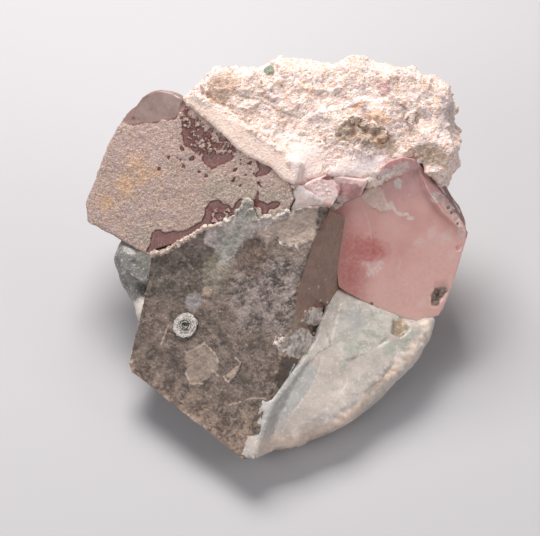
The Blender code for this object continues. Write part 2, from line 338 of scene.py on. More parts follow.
def zone_depth(points, face, marks, usual_reach=USUAL_REACH):
    """How many millimetres inside a zone's border each point lies; negative outside. Reach says how
    far below the face a zone still lies, and a side zone lies on the face's right-hand side."""
    across, up, out = face_places(points, face)
    if marks["side"]:
        across, up, out = up, out, across
    near = np.flatnonzero(out > marks.get("reach", usual_reach))
    depth = np.full(len(points), NOWHERE)
    for outline in marks["outlines"]:
        depth[near] = np.maximum(depth[near], depth_inside(across[near], up[near], outline))
    for line in marks["lines"]:
        gap = line_distance(across[near], up[near], line)
        depth[near] = np.maximum(depth[near], marks["width"] / 2 - gap)
    for centre_u, centre_v, radius in marks["spots"]:
        gap = np.hypot(across[near] - centre_u, up[near] - centre_v)
        depth[near] = np.maximum(depth[near], radius - gap)
    for centre, radius in marks["balls"]:
        depth = np.maximum(depth, radius - np.linalg.norm(points - np.array(centre), axis=1))
    return depth


# %% [markdown]
# ## Painted zones
# A zone is one stain, crust or chip: where it lies, its darkest and lightest tone, how torn and how
# soft its border is, and how much it covers. The mesh only stores how deep each point lies inside
# the zone. The material tears the border finely, so it stays sharp although the mesh is coarser.
# Hollows are stored too, so that the material can darken them as painted shade.

# %% Describe zones
NO_PLACES = {"outlines": [], "lines": [], "spots": [], "balls": [], "side": False, "width": 0.8}


def zone(dark, light, tear=0.6, soft=0.2, cover=1.0, **places):
    """A zone's finish and its places. Tear, soft and a line's width are in millimetres."""
    finish = {"dark": dark, "light": light, "tear": tear, "soft": soft, "cover": cover}
    return {**NO_PLACES, **finish, **places}


def place_depth(points, face, reach=USUAL_REACH, **places):
    """The depth inside places that have no tone of their own, for masks."""
    return zone_depth(points, face, {**NO_PLACES, **places}, reach)


# %% Soften and tear a border
ROUGHENING = 0.9
LACUNARITY = 2.1


def ramp(values, low, high):
    """0 below low, 1 above high, and a smooth step between."""
    share = np.clip((values - low) / (high - low), 0, 1)
    return share * share * (3 - 2 * share)


def ragged(points, grain, seed=0, octaves=4):
    """Ragged noise from about -1 to 1 at each point, with its coarsest grain in millimetres."""
    places = points / grain + np.array((17.3, 5.9, 11.1)) * seed
    return np.array([noise.fractal(Vector(place), ROUGHENING, LACUNARITY, octaves) for place in places])


# %% Paint numbers on the mesh
def paint(piece, name, amounts):
    """Stores a number at each point, which the material reads by its name."""
    layer = piece.data.attributes.new(name, "FLOAT", "POINT")
    layer.data.foreach_set("value", np.asarray(amounts, np.float32))


def paint_hollows(piece, rounds):
    """Stores how far each point lies in a hollow, or proud of its surroundings if negative."""
    ends = np.empty(len(piece.data.edges) * 2, np.int64)
    piece.data.edges.foreach_get("vertices", ends)
    one, other = ends.reshape(-1, 2).T
    points = points_of(piece)
    count = len(points)
    joined = np.bincount(one, minlength=count) + np.bincount(other, minlength=count)
    evened = points.copy()
    for _ in range(rounds):
        total = np.stack([
            np.bincount(one, evened[other, axis], count) + np.bincount(other, evened[one, axis], count)
            for axis in range(3)
        ], axis=1)
        evened = total / np.maximum(joined, 1)[:, None]
    paint(piece, "hollow", ((evened - points) * normals_of(piece)).sum(axis=1))


def paint_zones(piece, face, zones, reach=USUAL_REACH, rounds=3):
    """Paints every zone of a piece and its hollows. A zone without its own reach has this one."""
    points = points_of(piece)
    for name, marks in zones.items():
        paint(piece, name, np.clip(zone_depth(points, face, marks, reach), NOWHERE, -NOWHERE))
    paint_hollows(piece, rounds)
    print(f"{len(zones)} zones painted on {piece.name}")


# %% [markdown]
# ## Slabs and blocks
# Noise alone makes a surface that looks like dough. Crystals break along flat planes, so flat
# slabs and small blocks are sunk into the surface before it gets its new skin, and the skin then
# runs over their sharp edges. Each block is a copy of one small bevelled cube.

# %% Add a slab
def add_slab(face, outline, top, thick, rise=(0.0, 0.0), side=False, about=None):
    """A flat slab over an outline. Its top lies `top` out of the face at one place, its middle
    if no other is given, and may rise across and up from there."""
    bpy.ops.object.select_all(action="DESELECT")
    bpy.ops.mesh.primitive_circle_add(vertices=len(outline), radius=1 * MM, fill_type="NGON")
    slab = bpy.context.object
    middle_u, middle_v = about or np.mean(outline, axis=0)
    for corner, (across, up) in zip(slab.data.vertices, outline):
        height = top + rise[0] * (across - middle_u) + rise[1] * (up - middle_v)
        place = (height, across, up) if side else (across, up, height)
        corner.co = on_face(face, *place) * MM
    inwards = face_turn(face) @ Vector((1, 0, 0) if side else (0, 0, 1)) * (-thick * MM)
    bpy.ops.object.mode_set(mode="EDIT")
    bpy.ops.mesh.select_all(action="SELECT")
    bpy.ops.mesh.extrude_region_move(TRANSFORM_OT_translate={"value": inwards})
    bpy.ops.mesh.select_all(action="SELECT")
    bpy.ops.mesh.normals_make_consistent(inside=False)
    bpy.ops.object.mode_set(mode="OBJECT")
    return slab


# %% Scatter blocks
WORN_EDGE = 0.08


def add_block():
    """One small cleavage block with worn edges, to be copied."""
    bpy.ops.object.select_all(action="DESELECT")
    bpy.ops.mesh.primitive_cube_add(size=1)
    block = bpy.context.object
    bpy.ops.object.mode_set(mode="EDIT")
    bpy.ops.mesh.select_all(action="SELECT")
    bpy.ops.mesh.bevel(offset=WORN_EDGE, segments=1)
    bpy.ops.object.mode_set(mode="OBJECT")
    return block


def place_copy(model, place, turn, size):
    """A copy with its own mesh, at a place and of a size in millimetres."""
    copy = model.copy()
    copy.data = model.data.copy()
    bpy.context.collection.objects.link(copy)
    copy.matrix_world = (
        Matrix.Translation(Vector(place) * MM) @ turn.to_4x4() @ Matrix.Diagonal((*(size * MM), 1))
    )
    return copy


def scatter_blocks(piece, count, face, sizes, sink, jitter, where, seed):
    """Sinks blocks into a piece. All lie nearly along one cleavage, as in a real crystal."""
    draw = random.Random(seed)
    points, normals = points_of(piece), normals_of(piece)
    choices = np.flatnonzero(where(points))
    block = add_block()
    copies = []
    for _ in range(count):
        spot = int(choices[draw.randrange(len(choices))])
        size = draw.uniform(*sizes)
        tilt = [math.radians(draw.uniform(-jitter, jitter)) for _ in range(3)]
        turn = face_turn(face) @ Matrix.Rotation(tilt[0], 3, "X") @ Matrix.Rotation(tilt[1], 3, "Y")
        turn = turn @ Matrix.Rotation(tilt[2], 3, "Z")
        place = points[spot] - normals[spot] * size * sink
        shape = Vector((1.0, draw.uniform(0.5, 0.9), draw.uniform(0.3, 0.6))) * size
        copies.append(place_copy(block, place, turn, shape))
    bpy.data.objects.remove(block)
    join_into(piece, copies)


# %% [markdown]
# ## Shared effects
# Every mineral here has grain, flecks, hairlines and torn borders, each at its own scale. Each
# effect is a node group, built once and placed in every material with its own values. A group
# gives only shades, masks and heights. The shader stays in the material, where it can be tuned.

# %% Helpers for shader nodes
def add(tree, kind, inputs=None, **settings):
    """Adds a shader node. Inputs are values or sockets, by name or by number."""
    node = tree.nodes.new("ShaderNode" + kind)
    for setting, value in settings.items():
        setattr(node, setting, value)
    for key, value in (inputs or {}).items():
        if isinstance(value, bpy.types.NodeSocket):
            tree.links.new(value, node.inputs[key])
        else:
            node.inputs[key].default_value = value
    return node


def maths(tree, operation, first, second=0.0):
    return add(tree, "Math", {0: first, 1: second}, operation=operation).outputs[0]


def times(tree, first, second):
    return maths(tree, "MULTIPLY", first, second)


def stretch(tree, value, low, high, to_low=0.0, to_high=1.0):
    """A smooth step of a value, from to_low at low to to_high at high."""
    numbers = {"Value": value, "From Min": low, "From Max": high, "To Min": to_low, "To Max": to_high}
    return add(tree, "MapRange", numbers, interpolation_type="SMOOTHSTEP").outputs["Result"]


def blend(tree, mask, below, above):
    """Mixes two colours by a mask."""
    below, above = ((*c, 1) if isinstance(c, tuple) else c for c in (below, above))
    return add(tree, "MixRGB", {"Fac": mask, "Color1": below, "Color2": above}).outputs["Color"]


# %% Start a node group
def new_group(name, numbers, results):
    """An empty node group with named float inputs and outputs, and its two end nodes."""
    tree = bpy.data.node_groups.new(name, "ShaderNodeTree")
    for label, default in numbers.items():
        socket = tree.interface.new_socket(label, in_out="INPUT", socket_type="NodeSocketFloat")
        socket.default_value = default
    for label in results:
        tree.interface.new_socket(label, in_out="OUTPUT", socket_type="NodeSocketFloat")
    return tree, tree.nodes.new("NodeGroupInput").outputs, tree.nodes.new("NodeGroupOutput").inputs


def grain_places(tree, size, seed=0.0):
    """Object coordinates counted in grains of a size in millimetres."""
    places = add(tree, "TexCoord").outputs["Object"]
    in_mm = add(tree, "VectorMath", {0: places, "Scale": 1 / MM}, operation="SCALE").outputs[0]
    counted = maths(tree, "DIVIDE", 1.0, size)
    scaled = add(tree, "VectorMath", {0: in_mm, "Scale": counted}, operation="SCALE").outputs[0]
    moved = add(tree, "CombineXYZ", {0: seed, 1: seed, 2: seed}).outputs[0]
    return add(tree, "VectorMath", {0: scaled, 1: moved}, operation="ADD").outputs[0]


# %% Build fine grain
def build_grain():
    """Fine grain: a shade that varies from grain to grain, and a height to press it in."""
    tree, given, made = new_group("mineral_grain", {"Size": 1.0, "Seed": 0.0}, ["Shade", "Height"])
    places = grain_places(tree, given["Size"], given["Seed"])
    cells = add(tree, "TexVoronoi", {"Vector": places, "Scale": 1.0}, feature="F1")
    cell_shade = add(tree, "SeparateColor", {0: cells.outputs["Color"]}).outputs[0]
    dust = add(tree, "TexNoise", {"Vector": places, "Scale": 0.9, "Detail": 4.0, "Roughness": 0.65})
    contrast = stretch(tree, dust.outputs["Fac"], 0.3, 0.7)
    shade = maths(tree, "ADD", times(tree, cell_shade, 0.45), times(tree, contrast, 0.55))
    tree.links.new(shade, made["Shade"])
    height = maths(tree, "SUBTRACT", dust.outputs["Fac"], times(tree, cells.outputs["Distance"], 0.7))
    tree.links.new(height, made["Height"])
    return tree


# %% Build flecks and hairlines
def build_flecks():
    """Ragged flecks or blotches that cover a given share of the surface."""
    tree, given, made = new_group(
        "ragged_flecks", {"Size": 5.0, "Cover": 0.5, "Softness": 0.1, "Seed": 0.0}, ["Mask"]
    )
    places = grain_places(tree, given["Size"], given["Seed"])
    clouds = add(tree, "TexNoise", {"Vector": places, "Scale": 1.0, "Detail": 5.0, "Roughness": 0.6})
    middle = maths(tree, "SUBTRACT", 0.7, times(tree, given["Cover"], 0.4))
    low = maths(tree, "SUBTRACT", middle, given["Softness"])
    high = maths(tree, "ADD", middle, given["Softness"])
    tree.links.new(stretch(tree, clouds.outputs["Fac"], low, high), made["Mask"])
    return tree


def build_hairlines():
    """Thin wandering lines, such as cracks, seams and edges of cleavage."""
    tree, given, made = new_group("hairlines", {"Size": 6.0, "Width": 0.02, "Seed": 0.0}, ["Mask"])
    places = grain_places(tree, given["Size"], given["Seed"])
    clouds = add(tree, "TexNoise", {"Vector": places, "Scale": 1.0, "Detail": 3.0})
    middle = maths(tree, "ABSOLUTE", maths(tree, "SUBTRACT", clouds.outputs["Fac"], 0.5))
    tree.links.new(stretch(tree, middle, 0.0, given["Width"], 1.0, 0.0), made["Mask"])
    return tree


# %% Build torn borders
def build_torn_edge():
    """Turns a painted depth into a zone whose border is torn by fine noise, in millimetres."""
    tree, given, made = new_group(
        "torn_edge", {"Depth": 0.0, "Tear": 0.6, "Softness": 0.2, "Seed": 0.0}, ["Mask"]
    )
    places = grain_places(tree, 1.6, given["Seed"])
    clouds = add(tree, "TexNoise", {"Vector": places, "Scale": 1.0, "Detail": 5.0, "Roughness": 0.65})
    swing = times(tree, maths(tree, "SUBTRACT", clouds.outputs["Fac"], 0.5), 4.0)
    torn = maths(tree, "ADD", given["Depth"], times(tree, swing, given["Tear"]))
    low = times(tree, given["Softness"], -1.0)
    tree.links.new(stretch(tree, torn, low, given["Softness"]), made["Mask"])
    return tree


# %% Keep the shared effects
EFFECTS = {
    "grain": build_grain(),
    "flecks": build_flecks(),
    "hairlines": build_hairlines(),
    "torn_edge": build_torn_edge(),
}
print("Shared effects:", ", ".join(EFFECTS))


# %% Place the effects in a material
def effect(tree, name, **values):
    """Places a shared effect in a material. An input that isn't given keeps its default."""
    return add(tree, "Group", values, node_tree=EFFECTS[name]).outputs


def painted(tree, name):
    return add(tree, "Attribute", attribute_name=name).outputs["Fac"]


def zone_mask(tree, name, marks):
    values = {"Depth": painted(tree, name), "Tear": marks["tear"], "Softness": marks["soft"]}
    return effect(tree, "torn_edge", **values)["Mask"]


def lay_zones(tree, colour, shade, zones):
    """Lays every zone's tones over a colour, in order."""
    for name, marks in zones.items():
        tone = blend(tree, shade, marks["dark"], marks["light"])
        mask = times(tree, zone_mask(tree, name, marks), marks["cover"])
        colour = blend(tree, mask, colour, tone)
    return colour


def sprinkle(tree, colour, rows, within=None):
    """Scatters ragged flecks over a colour, or only within a mask. Each row gives a tone, a size in
    millimetres, the share that is covered, a strength, a softness and a seed."""
    for tone, size, cover, strength, soft, seed in rows:
        flecks = effect(tree, "flecks", Size=size, Cover=cover, Softness=soft, Seed=seed)["Mask"]
        flecks = times(tree, flecks, strength)
        if within:
            flecks = times(tree, flecks, within)
        colour = blend(tree, flecks, colour, tone)
    return colour


def tint_inside(tree, colour, density):
    """Colours the light that passes through a crystal."""
    body = add(tree, "VolumeAbsorption", {"Color": (*colour, 1), "Density": density})
    tree.links.new(body.outputs[0], tree.nodes["Material Output"].inputs["Volume"])


def shade_hollows(tree, colour, tone, low, high, strength):
    """Darkens the hollows of the relief as painted shade; they start at a depth in millimetres."""
    amount = stretch(tree, painted(tree, "hollow"), low, high, 0.0, strength)
    return blend(tree, amount, colour, tone)


# %% Start, finish and give a material
def start_material(name, **constants):
    """A material with its plain values set on the shader's own sockets."""
    material = bpy.data.materials.new(name)
    material.use_nodes = True
    tree = material.node_tree
    shader = tree.nodes["Principled BSDF"]
    for label, value in constants.items():
        shader.inputs[label.replace("_", " ")].default_value = value
    return material, tree, shader


def finish_material(tree, shader, colour, roughness, height, depth):
    """Links the colour, the roughness and the fine relief, whose depth is in millimetres."""
    tree.links.new(colour, shader.inputs["Base Color"])
    tree.links.new(roughness, shader.inputs["Roughness"])
    bump = add(tree, "Bump", {"Height": height, "Distance": depth * MM, "Strength": 1.0})
    tree.links.new(bump.outputs["Normal"], shader.inputs["Normal"])


def dress(piece, material, node):
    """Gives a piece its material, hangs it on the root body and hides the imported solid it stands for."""
    piece.data.materials.clear()
    piece.data.materials.append(material)
    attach(piece, "root")
    if node:
        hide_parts(node)


# %% [markdown]
# ## The feldspar
# The feldspar is the pocket wall that everything grew on: cream, crumbling and full of small
# ledges and holes, because it splits along flat planes and then weathers. Hundreds of small blocks
# are sunk into it along one cleavage, and relief at four scales goes over them, from ledges 9 mm
# wide to grit under a millimetre. One smooth band stays calm and laps over the left crystal, so it
# is a slab of its own. Sculpting all this would take days and look no different from here.

# %% Lay out the feldspar
ROCK_TOP = {"centre": (15.0, 45.0, 64.0), "lean": 42.0, "heading": 0.0, "turn": 0.0}
CLEAVAGE = {"centre": (0, 0, 0), "lean": 24.0, "heading": 12.0, "turn": 25.0}
SMOOTH_BAND = [
    (-44, 11), (-34, 6.5), (-26, 2), (-19, -4.5), (-12, -9), (-7, -17), (-12, -16.5), (-16, -12.5),
    (-21, -9.5), (-26, -7), (-31.5, -1.5), (-38.5, 4.5),
]
LEFT_FACE = {"centre": (-28.0, 41.0, 54.5), "lean": 45.0, "heading": -29.0, "turn": 0.0}
BAND_LAP = [
    (-8, 17.5), (-1, 15.5), (8, 12.5), (16, 9), (22, 8.5), (28, 8), (33, 5.5), (37, 6), (36, 12),
    (24, 15), (8, 19), (-6, 21),
]
SMOOTH_CLEAVAGE = [
    [(-7, -17.5), (2, -13.5), (5, -9.5), (14.5, -9), (20, -9), (17, -11.5), (11.5, -15.5)],
    [(-11.5, -3.5), (0, -6.5), (-1.5, -15), (-8.5, -16.5), (-10.5, -11.5)],
]
CAVITY = [
    (4, -0.5), (7, 3), (11.5, 3.5), (15.5, 1.5), (19, 0.5), (21.5, -3), (19.5, -5.5), (14.5, -5.5),
    (9, -4.5), (4.5, -4),
]

# %% Find the calm places and stand small crystals round the cavity
BASE_KEPT_FLAT = (0.3, 1.8)
ROCK_REACH = -12.0
CAVITY_CRYSTALS = [
    (9.4, 2.6, 2.6), (15.6, 0.2, 2.4), (18.6, -2.6, 2.8), (13.0, 1.4, 1.8), (27.5, 3.5, 2.6),
]
CRYSTAL_TURN = 38
CRYSTAL_FOOT = 1.5
CAVITY_FLOOR = -9
CRYSTAL_SINK = 0.1


def above_base(points):
    """0 on the flat resting face and 1 a little above it."""
    return ramp(points[:, 2], *BASE_KEPT_FLAT)


def calm_depth(points):
    """How deep each point lies in the feldspar's smooth band and cleavage faces."""
    return place_depth(points, ROCK_TOP, ROCK_REACH, outlines=[SMOOTH_BAND] + SMOOTH_CLEAVAGE)


def cavity_crystals(piece):
    """Small blocks that stand on the rock around the cavity, all turned the same way."""
    crystals = []
    block = add_block()
    turn = face_turn(ROCK_TOP) @ Matrix.Rotation(math.radians(CRYSTAL_TURN), 3, "Z")
    places = face_places(points_of(piece), ROCK_TOP)
    for across, up, size in CAVITY_CRYSTALS:
        near = np.hypot(places[0] - across, places[1] - up) < CRYSTAL_FOOT
        height = np.max(places[2][near & (places[2] > CAVITY_FLOOR)]) - CRYSTAL_SINK * size
        place = on_face(ROCK_TOP, across, up, height)
        crystals.append(place_copy(block, place, turn, Vector((size, size, size))))
    bpy.data.objects.remove(block)
    return crystals


# %% Form the feldspar
FIRST_ROCK_VOXEL = 1.2
FELDSPAR_VOXEL = 0.58
CONTACT = 0.5
ROCK_BLOCKS = 420
ROCK_BLOCK_SIZES = (1.8, 5.0)
ROCK_BLOCKS_START = 4
CALM_MARGIN = 1


def form_feldspar():
    piece = merged_copy("matrix", "feldspar_matrix")
    skin_finely(piece, FIRST_ROCK_VOXEL)

    def open_rock(points):
        return (points[:, 2] > ROCK_BLOCKS_START) & (calm_depth(points) < -CALM_MARGIN)

    scatter_blocks(
        piece, ROCK_BLOCKS, CLEAVAGE, ROCK_BLOCK_SIZES, sink=0.27, jitter=10, where=open_rock, seed=4
    )
    crystals = cavity_crystals(piece)
    join_into(piece, crystals + [add_slab(LEFT_FACE, BAND_LAP, top=0.6, thick=4.0)])
    skin_finely(piece, FELDSPAR_VOXEL)
    points = points_of(piece)
    standing = above_base(points)
    calm = ramp(calm_depth(points) + ragged(points, 4, 2, 2), -0.8, 0.8)
    hole = place_depth(points, ROCK_TOP, ROCK_REACH, outlines=[CAVITY])
    make_mask(piece, "standing", standing)
    make_mask(piece, "rough", standing * (1 - 0.9 * calm))
    make_mask(piece, "cavity", ramp(hole, -0.5, 1.5))
    shift(piece, CONTACT, "standing")
    ledges = pattern("ledges", "MUSGRAVE", 9, musgrave_type="RIDGED_MULTIFRACTAL", octaves=3)
    press(piece, ledges, 0.9, "rough")
    press_clouds(piece, "crumbs", 2.0, 1.0, "rough", noise_depth=3, noise_type="HARD_NOISE")
    press(piece, pattern("vugs", "VORONOI", 2.2), 2.2, "cavity")
    press_clouds(piece, "grit", 1.0, 0.55, "rough", noise_depth=2)
    press_clouds(piece, "fine_grit", 0.9, 0.16, "standing", noise_depth=1)
    finish_form(piece, 50)
    return piece


feldspar = form_feldspar()
print(count_faces(feldspar))

# %% Describe the feldspar's large zones
FELDSPAR_ZONES = {
    "band": zone((0.9, 0.66, 0.55), (0.99, 0.84, 0.75), 1.0, 0.8, 0.75, outlines=[SMOOTH_BAND]),
    "cleavage": zone((0.88, 0.7, 0.66), (0.97, 0.87, 0.86), 1.5, 0.9, 0.7, outlines=SMOOTH_CLEAVAGE),
    "frost": zone(
        (0.9, 0.74, 0.74), (0.98, 0.92, 0.92), 0.8, 0.4, 0.8,
        outlines=[[(7, -7.5), (9, -6.5), (17, -7), (21.5, -9), (15, -13.5), (7, -15.5), (10, -10.5)]],
    ),
    "cavity": zone((0.13, 0.095, 0.07), (0.72, 0.6, 0.49), 2.2, 0.4, 0.9, outlines=[CAVITY]),
    "cavity_peach": zone(
        (0.6, 0.34, 0.21), (0.92, 0.68, 0.5), 1.8, 0.3, 0.75,
        outlines=[[(12, 5), (18, 6), (22, 3), (19.5, 1), (15, 2.5)],
                  [(15, -2.5), (19, -1.5), (20, -5), (15.5, -5)]],
    ),
    "knob": zone(
        (0.34, 0.17, 0.1), (0.94, 0.72, 0.58), 1.8, 0.8, 0.75,
        outlines=[[(-36.5, 12.5), (-34, 17.5), (-28.5, 18.5), (-26, 15.5), (-27.5, 11), (-31.5, 7.5),
                   (-35.5, 8)]],
    ),
    "brown_right": zone(
        (0.22, 0.15, 0.1), (0.72, 0.56, 0.42), 1.8, 0.8, 0.75,
        outlines=[[(28, -5.5), (33, -4.5), (38, -5.5), (38.5, -11), (33.5, -12), (29.5, -9)]],
    ),
    "shelf_shadow": zone(
        (0.2, 0.13, 0.09), (0.45, 0.32, 0.24), 0.7, 0.3, 0.7, width=0.7,
        lines=[
            [(19.5, -8.5), (24.5, -9.5), (30.5, -8.5), (36.5, -6.5)], [(-20.5, 7.5), (-19.5, 9), (-19, 11)],
            [(-0.5, 5), (5.5, 6), (9, 7.5), (13.5, 8.5)], [(22.5, 9), (27.5, 5.5), (33.5, 3.5)],
            [(-36, 11), (-33.5, 8.5), (-30, 7.5)], [(-26, 10.5), (-19, 9), (-13.5, 5.5), (-7, 3.5)],
        ],
    ),
    # Painted highlight: the lit crests of the ledges, just above their painted shadows.
    "ridge_highlight": zone(
        (0.92, 0.84, 0.8), (0.99, 0.97, 0.96), 0.6, 0.3, 0.9, width=1.4,
        lines=[[(-0.5, 6), (5.5, 7), (9, 8.7), (13.5, 9.7), (18, 9)],
               [(-19, -0.5), (-10.5, -2), (-5, -3.5)]],
    ),
}

# %% Describe the feldspar's small crystals and paint it
FELDSPAR_ZONES.update({
    "orange": zone(
        (0.62, 0.25, 0.1), (0.86, 0.46, 0.26), 0.5, 0.2, 0.8,
        outlines=[[(9, 7), (12.5, 9), (13, 8.2), (10, 6.4)]],
    ),
    # Painted shade round the edges of the small crystals in the cavity.
    "crystal_edge_shade": zone(
        (0.1, 0.05, 0.03), (0.38, 0.2, 0.12), 0.35, 0.15, 0.9, width=0.5,
        lines=[
            [(7.6, 2.4), (9.6, 4.3), (11.2, 2.8), (9.3, 0.9), (7.6, 2.4)],
            [(14.0, 0.3), (15.4, 1.9), (17.3, 0.4), (15.9, -1.4)],
            [(17.0, -2.8), (18.4, -4.6), (20.4, -3.4), (20.0, -1.2)],
            [(26.2, 3.0), (27.3, 5.0), (29.0, 4.6), (28.8, 2.6), (27.0, 1.8)],
        ],
    ),
    "green": zone(
        (0.1, 0.17, 0.13), (0.3, 0.42, 0.33), 0.5, 0.2, 0.95, balls=[((-1.9, 61.1, 73.9), 2.0)],
    ),
    "dark_grains": zone(
        (0.05, 0.04, 0.03), (0.25, 0.16, 0.12), 0.4, 0.2, 0.9,
        balls=[((10.5, 60.5, 73.4), 0.8), ((-5.4, 51.3, 68.0), 0.7), ((-4.4, 52.9, 69.0), 0.6)],
    ),
    "pink_crystal": zone(
        (0.62, 0.38, 0.38), (0.8, 0.57, 0.57), 0.3, 0.15, 0.9, reach=-14,
        outlines=[[(16.5, 14.5), (19, 16), (21, 15), (21, 11.5), (18, 10.5)]],
    ),
    "grey_crystals": zone(
        (0.42, 0.36, 0.36), (0.76, 0.68, 0.68), 0.7, 0.4, 0.85, reach=-14,
        outlines=[
            [(37.5, 11), (41, 9), (41.5, 3.5), (38.5, -2), (36, 0), (35.5, 5)],
            [(11.5, 6.8), (13.5, 8.3), (14.5, 6), (12.5, 5)], [(31, 6), (34.5, 5.5), (34, 2.5), (31.5, 3)],
        ],
    ),
    "tan_crystal": zone(
        (0.46, 0.34, 0.25), (0.72, 0.58, 0.46), 0.4, 0.3, 0.9,
        outlines=[[(19.8, -3.6), (22.2, -2.8), (23.2, -6.5), (20.8, -8.2)]],
    ),
})
paint_zones(feldspar, ROCK_TOP, FELDSPAR_ZONES, ROCK_REACH, rounds=4)


# %% Make the feldspar's material
ROCK_FLECKS = [
    ((0.86, 0.57, 0.43), 2.4, 0.42, 0.6, 0.08, 0.0),
    ((0.8, 0.62, 0.63), 5.0, 0.44, 0.6, 0.08, 7.0),
    ((0.98, 0.92, 0.89), 1.2, 0.4, 0.8, 0.05, 5.0),
]
RUST_FLECKS = [
    ((0.7, 0.4, 0.25), 0.8, 0.32, 0.7, 0.03, 2.0),
    ((0.46, 0.32, 0.27), 1.2, 0.22, 0.7, 0.03, 6.0),
    ((0.16, 0.08, 0.05), 0.8, 0.15, 0.9, 0.02, 9.0),
]


def feldspar_material():
    material, tree, shader = start_material("cream_feldspar", Specular_IOR_Level=0.35)
    grain = effect(tree, "grain", Size=0.7)
    coarse = effect(tree, "grain", Size=2.2, Seed=3.0)
    colour = blend(tree, coarse["Shade"], (0.8, 0.59, 0.5), (0.96, 0.82, 0.76))
    colour = sprinkle(tree, colour, ROCK_FLECKS)
    colour = lay_zones(tree, colour, grain["Shade"], FELDSPAR_ZONES)
    calm_zones = (zone_mask(tree, name, FELDSPAR_ZONES[name]) for name in ("band", "cleavage"))
    calm = maths(tree, "MAXIMUM", *calm_zones)
    open_rock = stretch(tree, calm, 0.0, 1.0, 1.0, 0.5)
    streams = effect(tree, "flecks", Size=7.0, Cover=0.5, Softness=0.12, Seed=11.0)["Mask"]
    streams = times(tree, stretch(tree, streams, 0.0, 1.0, 0.35, 1.0), open_rock)
    colour = sprinkle(tree, colour, RUST_FLECKS, streams)
    # Painted shade: the hollows of the feldspar are darkened.
    colour = shade_hollows(tree, colour, (0.46, 0.28, 0.2), 0.05, 0.32, 0.8)
    roughness = stretch(tree, coarse["Shade"], 0.2, 0.8, 0.6, 0.9)
    height = times(tree, grain["Height"], open_rock)
    finish_material(tree, shader, colour, roughness, height, 0.4)
    return material


dress(feldspar, feldspar_material(), "matrix")

# %% [markdown]
# ## The albite
# Albite is feldspar too, but it grows as stacks of thin, pale blades. On this rock the blades show
# as large smooth facets that lie over each other like tiles, with bright seams between them and a
# warm rim where the light comes through. So each big facet is a slab with its own tilt, laid on the
# slope that it finds. One long blade leans on the quartz, and a blunt one stands on the lobe at the
# left. Noise alone would lose the flat facets that tell albite from feldspar.

# %% Lay out the albite
ALBITE_FACE = {"centre": (24.0, -12.0, 18.0), "lean": 50.0, "heading": 25.0, "turn": 0.0}
SMOKY_FACE = {"centre": (-15.0, -5.0, 29.5), "lean": 32.0, "heading": -40.0, "turn": 20.0}
ROUND_BLADE = [
    (-8.9, 5.9), (-7, 6.5), (-4.9, 5.6), (-2.5, 1.7), (-4.6, -3.9), (-11, -7.7), (-21.7, -10.6),
    (-30.1, -10.5), (-25.2, -6.1), (-17.9, -2.5), (-12.7, 1.3),
]
SPECKLED_BLADE = [(3.4, 17.9), (10.2, 16.2), (19.8, 8.1), (14.3, 4.6), (6.6, 2.3), (-2.3, 2.2),
                  (-4.3, 9), (-0.1, 13.9)]
LOW_BLADE = [(-1.5, 1.5), (6.6, 1.8), (14, 3), (12, -2), (5, -6.5), (-5, -9), (-10, -8.5), (-3.6, -3.9)]
ALBITE_SLABS = [
    (ROUND_BLADE, 1.2, (0.05, 0.08)),
    (SPECKLED_BLADE, 0.7, (-0.03, 0.05)),
    (LOW_BLADE, 0.5, (0.05, -0.02)),
]
BLADE_BY_QUARTZ = [
    (-4, -9.5), (-9, -6.8), (-14, -4.5), (-19, -2), (-22, -0.5), (-30, -0.4), (-39.5, -0.4), (-36, -6),
    (-31, -12), (-20, -14), (-8, -14), (-4, -12),
]
LOBE_COLUMNS = [(-43, 20), (-36, 21.5), (-31.5, 19), (-30, 13), (-30.5, 8), (-35, 8.5), (-41, 13)]
ALBITE_VUG = [(17.3, 8.3), (21, 7), (20.7, 4.1), (16.9, 2.8), (14.8, 4.8)]
ALBITE_RIM = [
    (26.9, 3.9), (25, 0.6), (20.3, -0.5), (17.1, -3.6), (12.8, -4.1), (10.7, -5.9), (2.8, -9.1),
    (-3.6, -11.6), (-11.4, -13.5), (-19.4, -15.8), (-28.6, -15.9), (-37, -17.5),
]

# %% Form the albite
FIRST_VOXEL = 1.0
ALBITE_VOXEL = 0.55
BLADE_THICKNESS = 4.0
RIM_BLOCKS = 40
RIM_BLOCK_SIZES = (1.5, 4.0)
RIM_BLOCKS_START = 3
RIM_WIDTH = 4
SKIN_BELOW = 10


def slab_on_skin(piece, face, outline, lift, rise):
    """A slab whose top follows the piece's own slope inside an outline, lifted and tilted a little."""
    across, up, out = face_places(points_of(piece), face)
    inside = (depth_inside(across, up, outline) > 0) & (out > -SKIN_BELOW)
    table = np.stack([across[inside], up[inside], np.ones(inside.sum())], axis=1)
    (slope_u, slope_v, level), *_ = np.linalg.lstsq(table, out[inside], rcond=None)
    middle_u, middle_v = np.mean(outline, axis=0)
    top = float(slope_u * middle_u + slope_v * middle_v + level) + lift
    return add_slab(face, outline, top, BLADE_THICKNESS, (slope_u + rise[0], slope_v + rise[1]))


